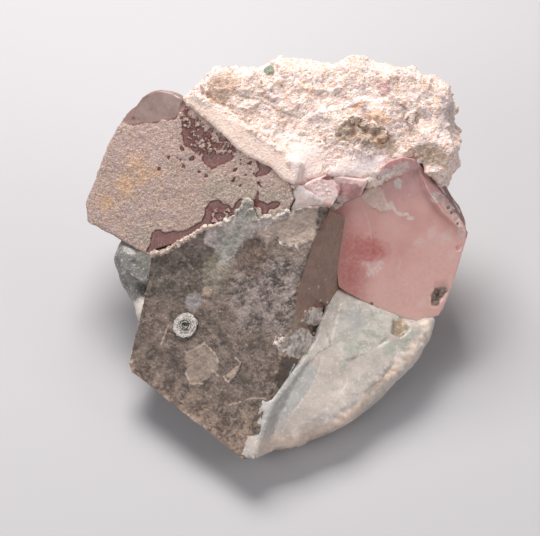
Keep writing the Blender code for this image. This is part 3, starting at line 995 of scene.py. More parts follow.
def form_albite():
    piece = merged_copy("albite", "albite_blades")
    skin_finely(piece, FIRST_VOXEL)
    slabs = [slab_on_skin(piece, ALBITE_FACE, *slab) for slab in ALBITE_SLABS]
    slabs.append(add_slab(
        SMOKY_FACE, BLADE_BY_QUARTZ, 22.7, BLADE_THICKNESS, (0.08, -0.3), side=True, about=(-20, -4)
    ))
    slabs.append(add_slab(SMOKY_FACE, LOBE_COLUMNS, top=-0.8, thick=5.0))

    def open_rim(points):
        across, up, out = face_places(points, ALBITE_FACE)
        return (points[:, 2] > RIM_BLOCKS_START) & (line_distance(across, up, ALBITE_RIM) < RIM_WIDTH)

    scatter_blocks(
        piece, RIM_BLOCKS, ALBITE_FACE, RIM_BLOCK_SIZES, sink=0.3, jitter=14, where=open_rim, seed=9
    )
    join_into(piece, slabs)
    skin_finely(piece, ALBITE_VOXEL)
    points = points_of(piece)
    across, up, out = face_places(points, ALBITE_FACE)
    vug = place_depth(points, ALBITE_FACE, -8, outlines=[ALBITE_VUG])
    make_mask(piece, "standing", above_base(points))
    make_mask(piece, "vug", ramp(vug, -0.5, 1.0))
    from_rim = line_distance(across, up, ALBITE_RIM)
    make_mask(piece, "chipped", above_base(points) * ramp(-from_rim, -RIM_WIDTH, -1))
    shift(piece, CONTACT, "standing")
    press_clouds(piece, "swells", 7, 0.3, "standing")
    press_clouds(piece, "blade_edges", 1.8, 0.1, "standing", noise_depth=1)
    press_clouds(piece, "rim_chips", 1.8, 1.0, "chipped", noise_depth=2)
    shift(piece, -1.4, "vug")
    finish_form(piece, 40)
    return piece


albite = form_albite()
print(count_faces(albite))

# %% Paint the albite
ALBITE_ZONES = {
    "speckled_blade": zone(
        (0.36, 0.36, 0.32), (0.66, 0.64, 0.58), 0.8, 0.8, 0.7, outlines=[SPECKLED_BLADE],
    ),
    "grey_blade": zone(
        (0.36, 0.36, 0.35), (0.52, 0.51, 0.5), 0.4, 0.5, 0.85, reach=-16,
        outlines=[
            [(-13.2, 5.5), (-12.4, 1.2), (-18.3, -2.6), (-26, -6.4), (-30.4, -7.6), (-40, -12),
             (-36, 0), (-22, 8)],
            [(3.5, 15.5), (8.5, 15), (9.5, 10), (3.5, 9)],
        ],
    ),
    "pale_blade": zone((0.53, 0.465, 0.42), (0.66, 0.59, 0.54), 0.3, 0.4, 0.85, outlines=[ROUND_BLADE]),
    "green_tint": zone(
        (0.28, 0.33, 0.27), (0.42, 0.47, 0.4), 1.0, 0.9, 0.65,
        spots=[
            (17.5, 0.5, 1.8), (-3.8, 1.2, 1.2), (12, 1, 2.2), (20.5, 3, 1.6), (-13, 8.5, 1.6),
            (3, 4.5, 1.4), (8, 6.5, 1.0),
        ],
    ),
    # Painted light: the warm glow where light comes through the rim of the blades.
    "rim": zone(
        (0.68, 0.51, 0.4), (0.92, 0.8, 0.7), 0.8, 0.9, 0.85, reach=-14, width=3.0, lines=[ALBITE_RIM],
    ),
    "peach_low": zone(
        (0.62, 0.45, 0.36), (0.8, 0.65, 0.55), 1.0, 1.8, 0.6, reach=-14,
        outlines=[[(-40, -10), (-30, -11.5), (-14, -13.5), (-2, -12), (-2, -22), (-40, -22)]],
    ),
    "seams": zone(
        (0.62, 0.54, 0.48), (0.84, 0.77, 0.71), 0.3, 0.25, 0.6, width=0.4,
        lines=[
            [(-30.1, -10.5), (-25.2, -6.1), (-17.9, -2.5), (-12.7, 1.3), (-8.9, 5.9), (-4.9, 5.6),
             (-2.5, 1.7)],
            [(-2.5, 1.7), (-4.6, -3.9), (-11, -7.7), (-17.5, -9.5), (-24, -10.3), (-34.3, -14.4)],
            [(-28, -15.5), (-29.5, -13.2), (-26.5, -12)],
        ],
    ),
    "dark_joints": zone(
        (0.16, 0.15, 0.12), (0.34, 0.32, 0.27), 0.4, 0.2, 0.55, width=0.4,
        lines=[
            [(-4.1, 12), (-5, 7.7), (-9.6, 7.1), (-12.8, 5.7)], [(-0.5, 1.9), (3, 2.2)],
            [(9, 2.9), (13, 4.2)],
        ],
    ),
    "vug": zone((0.16, 0.11, 0.06), (0.5, 0.38, 0.24), 0.8, 0.4, 0.9, outlines=[ALBITE_VUG]),
    # Painted shade: the pale lobe and its columns at the left are painted dark because they lie in shade.
    "lobe": zone(
        (0.11, 0.105, 0.1), (0.22, 0.208, 0.2), 1.0, 1.2, 0.95, balls=[((-50, 22, 28), 14.0)],
    ),
    "shaded_lobe_columns": zone(
        (0.12, 0.118, 0.1), (0.27, 0.262, 0.24), 1.0, 0.8, 0.85, balls=[((-40, 22, 32), 5.0)],
    ),
}
paint_zones(albite, ALBITE_FACE, ALBITE_ZONES, reach=-10, rounds=4)


# %% Make the albite's material
ALBITE_FLECKS = [
    ((0.42, 0.43, 0.41), 2.6, 0.25, 0.5, 0.08, 3.0),
    ((0.82, 0.77, 0.72), 0.9, 0.22, 0.5, 0.05, 8.0),
]


def albite_material(name, zones):
    material, tree, shader = start_material(name, Subsurface_Weight=0.4, Subsurface_Scale=2.0 * MM)
    shader.inputs["Subsurface Radius"].default_value = (1.0, 0.85, 0.7)
    grain = effect(tree, "grain", Size=0.9)
    streaks = effect(tree, "grain", Size=3.0, Seed=6.0)
    colour = blend(tree, streaks["Shade"], (0.47, 0.42, 0.385), (0.64, 0.575, 0.53))
    colour = lay_zones(tree, colour, streaks["Shade"], zones)
    colour = sprinkle(tree, colour, ALBITE_FLECKS)
    seams = effect(tree, "hairlines", Size=9.0, Width=0.008, Seed=4.0)["Mask"]
    colour = blend(tree, times(tree, seams, 0.25), colour, (0.86, 0.8, 0.73))
    # Painted shade: the hollows of the albite are darkened.
    colour = shade_hollows(tree, colour, (0.34, 0.3, 0.25), 0.04, 0.3, 0.7)
    roughness = stretch(tree, grain["Shade"], 0.2, 0.8, 0.28, 0.5)
    finish_material(tree, shader, colour, roughness, grain["Height"], 0.07)
    return material


dress(albite, albite_material("pale_albite", ALBITE_ZONES), "albite")

# %% [markdown]
# ## The smoky quartz
# The quartz is one big crystal that stopped growing in a cramped pocket. Its main face is etched and
# dusted with tiny lilac-grey crystals, so it looks mottled, and its narrow side face is still
# glassy and brown. The raised lip along its top, the flat top corner, the upper part of the side
# and the patches of albite crust on it are real slabs, because their edges cast shadows. All else
# is told by zones of tone. The ground zones lie under the flecks and the sharper marks lie over them.

# %% Lay out the smoky quartz
SIDE_CRUSTS = [
    [(5, -4.5), (9, -6), (11.5, -10), (13, -14.5), (11, -15), (10, -14.5), (9, -17.5), (6.5, -12.5),
     (6, -8)],
    [(-3.5, 0.5), (-1.5, 0.5), (3.5, -5), (4.5, -8.5), (3, -10), (2.5, -15), (1.5, -16.5),
     (-0.5, -14.5), (-2.5, -13), (-4, -10.5), (-5.5, -7.5), (-6.5, -2.5), (-5, 0.5)],
]
TOP_LIP = [
    (-30, 16.3), (-26.8, 17.5), (-24.3, 18.9), (-21.6, 21.2), (-19, 23.3), (-15.7, 26), (-13.6, 27.6),
    (-10.6, 28.8), (-6.3, 31.1), (-3.2, 35), (-1.7, 38.2), (-0.1, 37.7), (-0.4, 35), (1.8, 32.7),
    (4.8, 34.5), (8, 34.6), (11.5, 37.3), (15.1, 38.9), (20, 40.5), (24, 41.5),
]
LIP_FOOT = [(22, 33), (9, 26.5), (0, 20), (-30, 5)]
FILM = TOP_LIP[6:12] + [
    (1.8, 32.7), (8, 34.6), (15.1, 38.9), (21, 41.3), (15.2, 38), (6.6, 32.8), (0, 26.5), (-3.5, 21.3),
    (-7.4, 18.8), (-10, 21.8), (-13.4, 22.6),
]
LIP_PLACE = (0.0, 30.0)
LIP_HEIGHT = 2.4
LIP_RISE = (-0.19, 0.38)
TOP_CORNER = [(14, 30), (20.5, 22), (20.9, 25.5), (21.5, 33.5), (23.5, 41), (20, 40)]
SIDE_TOP = [(14, -0.2), (41, -0.2), (42, -8), (38, -18), (14, -20)]

# %% Form the smoky quartz
SMOKY_VOXEL = 0.48
CRUST_LIFT = 0.9
SIDE_FROM = 15
SIDE_SKIN_FROM = 18


def form_smoky():
    piece = merged_copy("smoky_quartz", "smoky_quartz_crystal")
    skin_finely(piece, FIRST_VOXEL)
    across, up, out = face_places(points_of(piece), SMOKY_FACE)
    slabs = [
        add_slab(SMOKY_FACE, TOP_LIP + LIP_FOOT, LIP_HEIGHT, 3.5, LIP_RISE, about=LIP_PLACE),
        add_slab(SMOKY_FACE, TOP_CORNER, top=0.0, thick=6.0),
        add_slab(SMOKY_FACE, SIDE_TOP, 20.9, 6.0, (0.08, -0.33), side=True, about=(28, 0)),
    ]
    for outline in SIDE_CRUSTS:
        inside = (depth_inside(up, out, outline) > 0) & (across > SIDE_FROM)
        slope = np.polyfit(out[inside], across[inside], 1)[0]
        top = float(np.median(across[inside])) + CRUST_LIFT
        slabs.append(add_slab(SMOKY_FACE, outline, top, 4.0, (0.0, slope), side=True))
    join_into(piece, slabs)
    skin_finely(piece, SMOKY_VOXEL)
    points = points_of(piece)
    across, up, out = face_places(points, SMOKY_FACE)
    main = ramp(out, -1.2, -0.4)
    crust = np.full(len(points), NOWHERE)
    for outline in SIDE_CRUSTS:
        depth = np.where(across > SIDE_SKIN_FROM, depth_inside(up, out, outline), NOWHERE)
        crust = np.maximum(crust, depth)
    crust = ramp(crust, -1.0, 0.3) * (1 - main)
    film = ramp(depth_inside(across, up, FILM) + ragged(points, 3, 5), -0.6, 0.6) * main
    make_mask(piece, "main", main)
    make_mask(piece, "crust", crust)
    make_mask(piece, "film", film)
    press_clouds(piece, "etching", 1.3, 0.4, "main", noise_depth=2)
    press_clouds(piece, "druse", 4.0, 0.6, "main", noise_depth=3)
    press_clouds(piece, "crust_lumps", 1.5, 1.3, "crust", noise_depth=3)
    shift(piece, 0.3, "film")
    finish_form(piece, 40)
    return piece


smoky = form_smoky()
print(count_faces(smoky))

# %% Describe the ground of the quartz's main face
SMOKY_GROUND = {
    "druse": zone(
        (0.04, 0.029, 0.024), (0.39, 0.315, 0.295), 3.0, 2.0, 0.75,
        outlines=[[(-2, 19.5), (18.5, 24), (22, 11), (21, 1.5), (5, -1.5), (-1.5, 7)]],
    ),
    "olive": zone(
        (0.028, 0.022, 0.014), (0.15, 0.12, 0.09), 2.5, 1.2, 0.8,
        outlines=[
            [(-30.5, 14.5), (-22, 19), (-17, 17), (-11, 13.5), (-11, 5.5), (-17.5, 4), (-25, 6),
             (-28, 2.5), (-28.5, -4.5), (-31, 0)],
        ],
    ),
    "warm_low": zone(
        (0.075, 0.046, 0.034), (0.38, 0.265, 0.2), 3.0, 6.0, 0.85,
        outlines=[[(-32, -17), (-10, -24), (10, -27), (26, -20), (26, -50), (-32, -50)]],
    ),
    "warm_patch": zone(
        (0.075, 0.045, 0.03), (0.22, 0.145, 0.105), 1.8, 1.2, 0.8,
        outlines=[[(-2, 25), (3, 27.5), (8, 24), (6, 15), (-1, 17)]],
    ),
    "striped": zone(
        (0.09, 0.07, 0.06), (0.38, 0.32, 0.3), 0.4, 0.15, 0.7, width=0.35,
        lines=[
            [(-24, 22.5), (-14, 26.5)], [(-21.5, 21.5), (-12, 25)], [(-19, 20.3), (-11, 23)],
            [(-18, 18.6), (-11, 21.2)],
        ],
    ),
    "green_veil": zone(
        (0.16, 0.14, 0.1), (0.33, 0.29, 0.22), 1.5, 1.0, 0.75,
        outlines=[[(-13.5, 22.5), (-6.5, 23.5), (-3.5, 16), (-4.5, 10), (-9.5, 8), (-12, 13)]],
    ),
}

# %% Describe the marks on the quartz's main face
LOW_EDGE = [(-29, -19), (-26, -24), (-19.5, -25.5), (-10.5, -29), (0.5, -34), (9.5, -38.5), (17, -42)]
SMOKY_MARKS = {
    "top_plain": zone(
        (0.42, 0.32, 0.27), (0.58, 0.45, 0.385), 1.5, 1.0, 0.9,
        outlines=[[(1, 31), (8, 35), (20.5, 40.5), (21.5, 31), (17, 28.5), (14, 27.5), (9, 29),
                   (6.5, 26.5)]],
    ),
    "film": zone((0.32, 0.27, 0.255), (0.64, 0.55, 0.53), 1.3, 0.5, 0.9, outlines=[FILM]),
    "film_green": zone(
        (0.25, 0.25, 0.21), (0.46, 0.45, 0.41), 1.2, 0.9, 0.7,
        outlines=[[(-9, 27), (-4, 30), (-1, 36), (0, 33), (-2, 24), (-5, 17.5), (-8, 17)]],
    ),
    "bright_lines": zone(
        (0.5, 0.41, 0.38), (0.85, 0.76, 0.73), 0.5, 0.15, 0.75, width=0.35,
        lines=[
            [(-5.5, 19.1), (-3.5, 21.3), (0, 26.5), (4.5, 29.7), (6.6, 32.8), (15.2, 38)],
            [(5.5, 28.5), (8, 29.5), (12, 27), (15, 28.5), (17.5, 26.5)], [(9, 36.5), (16, 39), (20, 40.5)],
        ],
    ),
    "bluish": zone((0.22, 0.2, 0.2), (0.33, 0.31, 0.31), 0.6, 0.5, 0.8, spots=[(-13, 4.6, 2.6)]),
    "amber": zone((0.34, 0.24, 0.17), (0.48, 0.36, 0.28), 0.6, 0.6, 0.7, spots=[(-9.3, 8.6, 1.6)]),
    "dark_band": zone(
        (0.045, 0.032, 0.026), (0.14, 0.105, 0.085), 0.8, 0.6, 0.8, width=2.2,
        lines=[[(-9.5, 2.5), (-4.5, -1.5), (0.5, -5.5), (5.5, -10)]],
    ),
    "beige": zone(
        (0.26, 0.2, 0.16), (0.36, 0.28, 0.23), 0.7, 0.3, 0.9,
        outlines=[[(-11, -11.5), (-5.5, -7.5), (-1.5, -10), (1.5, -14), (-1.5, -19), (-7, -21.5),
                   (-9, -17.5)]],
    ),
    "beige_light": zone(
        (0.44, 0.33, 0.26), (0.62, 0.48, 0.39), 0.4, 0.2, 0.8, width=0.5,
        lines=[
            [(-10.5, -12), (-5.5, -7.8), (-1.5, -10), (1, -13)], [(-0.5, -15.5), (2, -17)],
            [(-9, -18), (-6.5, -21), (-2, -20)],
            [(6, -10.5), (8, -11.5), (7.2, -15.5), (5.5, -18.3), (3.8, -16.8)], [(-19, -4.5), (-19.8, -11)],
            [(8, -25), (11.5, -23.5), (15, -21.5), (19, -21)],
        ],
    ),
    "chip": zone(
        (0.34, 0.26, 0.2), (0.5, 0.39, 0.31), 0.3, 0.2, 0.9,
        outlines=[[(7.2, -12.5), (8, -11.5), (6.6, -17.6), (4.6, -16.4)]],
    ),
    "chip_shadow": zone(
        (0.03, 0.02, 0.015), (0.07, 0.05, 0.04), 0.2, 0.12, 0.9, width=0.45,
        lines=[[(8.6, -11.6), (8.0, -15.5), (6.4, -18.8)]],
    ),
    "red_specks": zone(
        (0.2, 0.05, 0.03), (0.34, 0.1, 0.06), 0.4, 0.2, 0.8,
        spots=[(-9.5, -15, 0.5), (20.5, -23.5, 1.2), (19.5, -27, 0.9), (12, 12, 0.4), (17, 6, 0.4)],
    ),
    # Painted light: a warm lit band along the bevelled lower edge of the main face.
    "rim": zone(
        (0.38, 0.26, 0.2), (0.64, 0.47, 0.38), 1.0, 1.3, 0.85, reach=-9, width=3.0, lines=[LOW_EDGE],
    ),
    # Painted light: a lit band along the bevelled left edge of the main face.
    "lit_bevel_edge": zone(
        (0.4, 0.3, 0.24), (0.72, 0.57, 0.48), 0.7, 0.4, 0.85, reach=-9, width=1.1,
        lines=[[(-29, -19), (-30, -8), (-30.5, 4), (-31, 14), (-30, 16.3), (-26.8, 17.5), (-24.3, 18.9),
                (-19, 23.3)]],
    ),
}

# %% Describe the quartz's side face and paint it
SIDE_OF_CRYSTAL = [(-60, -0.6), (60, -0.6), (60, -60), (-60, -60)]
SMOKY_SIDE = {
    "glassy": zone(
        (0.28, 0.17, 0.125), (0.345, 0.22, 0.165), 0.3, 0.2, 1.0, side=True, reach=10,
        outlines=[SIDE_OF_CRYSTAL],
    ),
    "side_specks": zone(
        (0.55, 0.48, 0.44), (0.75, 0.7, 0.66), 0.5, 0.15, 0.8, side=True, reach=18,
        spots=[(18, -9, 0.35), (16, -5, 0.3), (14.5, -12, 0.4), (13.5, -6, 0.35), (21, -11, 0.3),
               (24, -6, 0.3), (15, -15, 0.4)],
    ),
    "edge_strip": zone(
        (0.28, 0.21, 0.16), (0.42, 0.33, 0.26), 0.6, 0.4, 0.8, width=1.6, reach=-4,
        lines=[[(21.5, 8), (21.5, 2), (20.2, -3.5), (20.2, -7), (19.8, -10.5), (22.5, -21.5)]],
    ),
    "window": zone(
        (0.055, 0.035, 0.022), (0.13, 0.085, 0.06), 0.5, 0.3, 0.9, side=True, reach=17,
        outlines=[
            [(-11.5, 0), (-7, 0), (-5.5, -7), (-9.5, -7), (-14, -5.5), (-17.5, -3), (-15.5, 0)],
            [(4.2, -9), (5.6, -9), (8.5, -18), (6, -21), (1.8, -18), (3.2, -15.5), (3.4, -10.5)],
        ],
    ),
    "side_crust": zone(
        (0.34, 0.28, 0.25), (0.82, 0.73, 0.67), 0.9, 0.2, 1.0, side=True, reach=17, outlines=SIDE_CRUSTS,
    ),
    "glints": zone(
        (0.7, 0.66, 0.63), (0.92, 0.9, 0.88), 0.4, 0.15, 0.9, side=True, reach=17, width=0.6,
        lines=[[(-8, -6), (-10.5, -5), (-12.5, -5.5), (-14, -4.4)], [(4, -13), (5, -16), (3, -18)]],
    ),
}
paint_zones(smoky, SMOKY_FACE, {**SMOKY_GROUND, **SMOKY_MARKS, **SMOKY_SIDE})


# %% Make the smoky quartz's material
GREY_CLOUDS = [((0.285, 0.212, 0.176), 3.0, 0.45, 0.7, 0.07, 5.0)]
DARK_FLECKS = [
    ((0.05, 0.033, 0.025), 5.0, 0.4, 0.4, 0.1, 9.0),
    ((0.05, 0.033, 0.025), 1.6, 0.3, 0.35, 0.08, 4.0),
]
QUARTZ_DUST = [
    ((0.375, 0.295, 0.265), 1.3, 0.3, 0.5, 0.05, 1.0),
    ((0.56, 0.47, 0.44), 0.7, 0.13, 0.5, 0.04, 12.0),
]


def smoky_material():
    material, tree, shader = start_material("smoky_quartz", IOR=1.54, Transmission_Weight=0.15)
    grain = effect(tree, "grain", Size=0.9)
    coarse = effect(tree, "grain", Size=3.0, Seed=2.0)
    etched = maths(tree, "SUBTRACT", 1.0, zone_mask(tree, "glassy", SMOKY_SIDE["glassy"]))
    clouds = effect(tree, "flecks", Size=8.0, Cover=0.5, Softness=0.12, Seed=8.0)["Mask"]
    dusty = times(tree, stretch(tree, clouds, 0.0, 1.0, 0.3, 1.0), etched)
    fine_part = times(tree, grain["Shade"], 0.4)
    coarse_part = times(tree, coarse["Shade"], 0.6)
    mottle = stretch(tree, maths(tree, "ADD", fine_part, coarse_part), 0.25, 0.72)
    colour = blend(tree, mottle, (0.062, 0.042, 0.032), (0.205, 0.152, 0.122))
    colour = sprinkle(tree, colour, GREY_CLOUDS, dusty)
    colour = lay_zones(tree, colour, mottle, SMOKY_GROUND)
    colour = sprinkle(tree, colour, DARK_FLECKS, etched)
    colour = sprinkle(tree, colour, QUARTZ_DUST, dusty)
    colour = lay_zones(tree, colour, mottle, {**SMOKY_MARKS, **SMOKY_SIDE})
    rough = maths(tree, "MAXIMUM", etched, zone_mask(tree, "side_crust", SMOKY_SIDE["side_crust"]))
    roughness = stretch(tree, rough, 0.0, 1.0, 0.18, 0.55)
    height = times(tree, grain["Height"], stretch(tree, rough, 0.0, 1.0, 0.12, 1.0))
    finish_material(tree, shader, colour, roughness, height, 0.22)
    tint_inside(tree, (0.45, 0.28, 0.2), 120.0)
    return material


dress(smoky, smoky_material(), "smoky_quartz")

# %% [markdown]
# ## The left morganite
# This crystal is as big as the pink one, but a sugary crust hides it. Where the crust has fallen
# off, the crystal shows plum red, in large bare patches and in many small gaps between flecks of
# crust. The crust is a raised skin: everything that is bare lies lower. One ragged noise decides
# where the flecks are, and both the relief and the colour follow it. The point of the crystal is
# worn round, so a slab rounds its outline there and a Smooth modifier with a mask softens it.

# %% Lay out the crust of the left morganite
FLECKED = [
    [(-7.5, 14.5), (-2, 13.5), (3.5, 12), (9.5, 13), (15, 10), (15, 6), (11.5, 2.5), (9, -0.5), (5, 2),
     (-1, 4), (-4, 6.5), (-4, 8), (-7.5, 11.5)],
    [(14.5, -11.5), (17, -10), (20.5, -9), (20, -12.5), (16.5, -16), (14.5, -16)],
]
SPECKED = [[(15.5, 5), (21, 8.5), (24, 3.5), (27, 0.5), (20.5, -2.5), (15, 0)],
           [(-3, 4), (3, 1), (0, -4), (-6, -2)]]
PLUM = [
    [(5, 4), (14, 7), (15, 5.5), (11.5, 2.5), (9, -0.5), (6, 0.5)],
    [(-5, 7.5), (-3, 8.5), (-0.5, 6), (0, 4), (-2.5, 4)],
]
BARE = [
    [(22, 8), (24, 8.5), (28.5, 8.5), (27, 5), (24, 3.5), (24, 5.5)],
    [(12, -9.5), (15.5, -8), (20, -8.5), (22, -5), (22.5, -8), (20, -13.5), (12, -20), (7, -25),
     (1.5, -32), (-2, -32), (-2, -25), (7, -21.5), (12, -16)],
    [(26.5, -1), (27.5, -3), (30, -3), (34.5, -1.5), (34, -3.5), (31.5, -5), (31.5, -7), (29, -5.5),
     (26, -6)],
]
BARE_DOTS = [
    (-2.5, 2.5, 0.5), (-3, -0.5, 0.4), (-7.5, -6, 0.2), (5.5, -2, 0.2), (19, 0.5, 0.5),
    (8.5, -2.5, 0.2), (2, 1, 0.3),
]

# %% Decide where the crust is gone
SIDE_STARTS = -1.0
CRUST_REACH = -4.0


def left_depth(points, **places):
    """How deep each point lies inside places on the left crystal's face."""
    return place_depth(points, LEFT_FACE, CRUST_REACH, **places)


def bare_depth(points):
    """How many millimetres each point lies inside the nearest bare patch; negative in the crust."""
    torn = ragged(points, 3.0)
    flecks = ragged(points, 1.3, 1, 3)
    depth = left_depth(points, outlines=BARE, spots=BARE_DOTS) + 0.9 * torn
    depth = np.where(left_depth(points, outlines=FLECKED) + torn > 0, flecks - 0.05, depth)
    specked = np.minimum(left_depth(points, outlines=SPECKED) + torn, 0) + flecks - 0.45
    depth = np.maximum(depth, specked)
    depth = np.maximum(depth, left_depth(points, outlines=PLUM) + 0.9 * torn)
    out = face_places(points, LEFT_FACE)[2]
    return np.where(out < SIDE_STARTS, np.maximum(depth, 0.1 + ragged(points, 2.5, 3)), depth)


# %% Form the left morganite
LEFT_VOXEL = 0.42
CRUST_THICKNESS = 0.32
CORNER = [(-26, 2.5), (-26, 22), (-5, 22), (-7.5, 11.5), (-12, 8.5), (-21.5, 4)]
CORNER_REACH = -30.0
ROUNDED_CORNER = [
    (-8, 17.5), (-12.5, 18.3), (-17, 17.5), (-19.8, 15.8), (-21.5, 13), (-22.5, 9.5), (-22.5, 6),
    (-14, 8), (-8, 13),
]
APEX = (-15.0, 19.0)


def form_left():
    piece = merged_copy("morganite_left", "left_morganite")
    join_into(piece, [add_slab(LEFT_FACE, ROUNDED_CORNER, top=-0.1, thick=8.0)])
    skin_finely(piece, LEFT_VOXEL)
    points = points_of(piece)
    across, up, out = face_places(points, LEFT_FACE)
    make_mask(piece, "worn", ramp(-np.hypot(across - APEX[0], up - APEX[1]), -9, -4))
    apply_modifier(piece, "SMOOTH", factor=0.5, iterations=60, vertex_group="worn")
    make_mask(piece, "edges", ramp(-out, 0.8, 2.0) * above_base(points))
    press_clouds(piece, "broken_edges", 3.5, 1.6, "edges", noise_depth=3)
    points = points_of(piece)
    corner = place_depth(points, LEFT_FACE, CORNER_REACH, outlines=[CORNER])
    bare = np.maximum(bare_depth(points), corner + 0.8 * ragged(points, 3.0, 5))
    paint(piece, "bare", bare)
    paint(piece, "flecked", left_depth(points, outlines=FLECKED))
    make_mask(piece, "crusted", ramp(-bare, -0.15, 0.15))
    shift(piece, CRUST_THICKNESS, "crusted")
    shift(piece, -0.1)
    press_clouds(piece, "crust_swells", 5, 0.5, "crusted", noise_depth=2)
    press_clouds(piece, "sugar", 1.0, 0.42, "crusted", noise_depth=2)
    finish_form(piece, 45)
    return piece


left = form_left()
print(count_faces(left))

# %% Paint the left morganite
LEFT_ZONES = {
    "ochre": zone(
        (0.48, 0.25, 0.11), (0.78, 0.52, 0.32), 2.0, 2.2, 0.6,
        spots=[(-15.5, -6, 3.2), (-16.5, -14.5, 3.6), (-20.5, -22, 2.6), (-8, -7.5, 1.6), (-12, -10, 2.5)],
    ),
    "greenish": zone(
        (0.24, 0.2, 0.155), (0.56, 0.48, 0.41), 1.5, 1.5, 0.6,
        outlines=[
            [(9, -1), (36, 2), (36, -8), (18, -6), (10, -10)],
            [(15.5, -13), (18.5, -10.5), (21.5, -13), (19, -15)],
            [(-13, -30.5), (-7, -25.5), (1.5, -23.5), (-0.5, -30)],
        ],
    ),
    "pinkish": zone(
        (0.4, 0.25, 0.22), (0.72, 0.54, 0.5), 2.0, 2.5, 0.5,
        outlines=[[(-24, 3), (-8, 10), (-4, 2), (-10, -6), (-26, -6)]],
    ),
}
CORNER_ZONES = {
    "corner": zone((0.215, 0.135, 0.12), (0.35, 0.24, 0.215), 0.8, 0.6, 1.0, reach=CORNER_REACH,
                   outlines=[CORNER]),
    "corner_light": zone(
        (0.27, 0.18, 0.165), (0.38, 0.27, 0.25), 1.5, 2.5, 0.6, reach=CORNER_REACH,
        outlines=[[(-19, 20), (-9, 20), (-9, 14), (-15, 12)]],
    ),
}
paint_zones(left, LEFT_FACE, {**LEFT_ZONES, **CORNER_ZONES})


# %% Make the left morganite's material
CRUST_CLOUDS = [((0.42, 0.33, 0.32), 3.5, 0.45, 0.5, 0.08, 2.0)]
SUGAR_GRAINS = [
    ((0.84, 0.7, 0.62), 0.7, 0.2, 0.7, 0.03, 3.0),
    ((0.2, 0.12, 0.1), 0.7, 0.14, 0.6, 0.03, 6.0),
]
RED_DUST = [((0.36, 0.22, 0.19), 0.7, 0.22, 0.6, 0.05, 7.0)]


def left_material():
    material, tree, shader = start_material("crusted_morganite", Specular_IOR_Level=0.45)
    grain = effect(tree, "grain", Size=0.6)
    coarse = effect(tree, "grain", Size=3.0, Seed=5.0)
    crust = blend(tree, grain["Shade"], (0.3, 0.2, 0.165), (0.66, 0.5, 0.43))
    crust = sprinkle(tree, crust, CRUST_CLOUDS)
    crust = lay_zones(tree, crust, grain["Shade"], LEFT_ZONES)
    crust = sprinkle(tree, crust, SUGAR_GRAINS)
    # Painted shade: the hollows of the crust are darkened.
    crust = shade_hollows(tree, crust, (0.22, 0.13, 0.105), 0.02, 0.14, 0.5)
    red = blend(tree, coarse["Shade"], (0.11, 0.030, 0.027), (0.215, 0.085, 0.073))
    red = sprinkle(tree, red, RED_DUST)
    red = lay_zones(tree, red, coarse["Shade"], CORNER_ZONES)
    bare = effect(tree, "torn_edge", Depth=painted(tree, "bare"), Tear=0.3, Softness=0.12)["Mask"]
    gaps = effect(tree, "flecks", Size=1.0, Cover=0.36, Softness=0.03, Seed=13.0)["Mask"]
    flecked = effect(tree, "torn_edge", Depth=painted(tree, "flecked"), Tear=0.8, Softness=0.3)["Mask"]
    bare = maths(tree, "MAXIMUM", bare, times(tree, gaps, flecked))
    colour = blend(tree, bare, crust, red)
    roughness = stretch(tree, bare, 0.0, 1.0, 0.8, 0.32)
    height = times(tree, grain["Height"], stretch(tree, bare, 0.0, 1.0, 1.0, 0.15))
    height = maths(tree, "ADD", height, stretch(tree, bare, 0.0, 1.0, 0.7, 0.0))
    finish_material(tree, shader, colour, roughness, height, 0.25)
    return material


dress(left, left_material(), "morganite_left")

# %% [markdown]
# ## The right morganite
# This is the gem crystal: a smooth six-sided face of milky pink, deeper and redder where it meets the
# quartz. Its body lets light through, so it has plain values for transmission, refraction and
# absorption, with scattering just under the skin for the milkiness. Three slabs give it the narrow
# faces at its right and top, which noise would blur. The marks on it are small: chips, a crusted
# vein, hair cracks, a whitish fracture and one dark pit with brown grains.

# %% Lay out the right morganite
RIGHT_FACE = {"centre": (40.0, 20.0, 37.5), "lean": 47.0, "heading": 13.0, "turn": 0.0}
PIT = [(6.5, -20.5), (6.5, -17.5), (8.5, -15.5), (11.5, -15.5), (12, -17), (9.5, -19), (8, -21)]
CHIPS = [
    [(-8.5, 20), (-5.5, 20.5), (-4, 18.5), (-3.5, 15.5), (-2.5, 11.5), (-4.5, 11), (-6.5, 12.5),
     (-9, 14.5), (-11, 16.5)],
    [(0.5, 20.5), (2, 21.5), (3, 20), (2, 17.5), (0.5, 18.5)],
]
EDGE_PITS = [(18, 8, 0.8), (18.5, 5.5, 0.7), (19, 4, 0.7), (19.6, 2, 0.6), (14, 13, 1.2), (17.5, -4, 0.8)]
FACE_CORNER = [(4, 18), (6, 22.6), (10, 23.1), (12, 18), (15, 13.5), (20.5, 2.5), (20.3, -1.4), (10, 5)]
STRIP = [(9, 23.4), (10, 23.5), (14, 21), (16.5, 18), (18.5, 12.5), (20.5, 9), (21.5, 4.5), (20.8, 0),
         (14, 8), (10, 16)]
STRIP_RISE = (-0.62, -0.34)
STRIP_EDGE = (12.0, 18.0)
TOP_FACET = [(-5.5, 21.4), (1.2, 21.6), (5.9, 22.7), (10, 23.4), (7.6, 26.3), (3.5, 27.7), (-0.8, 27.1),
             (-4, 25.8)]
TOP_PLACE = (0.0, 25.0)
TOP_RISE = (-0.2, 0.5)

# %% Form the right morganite
RIGHT_VOXEL = 0.42
FACET_THICKNESS = 8.0


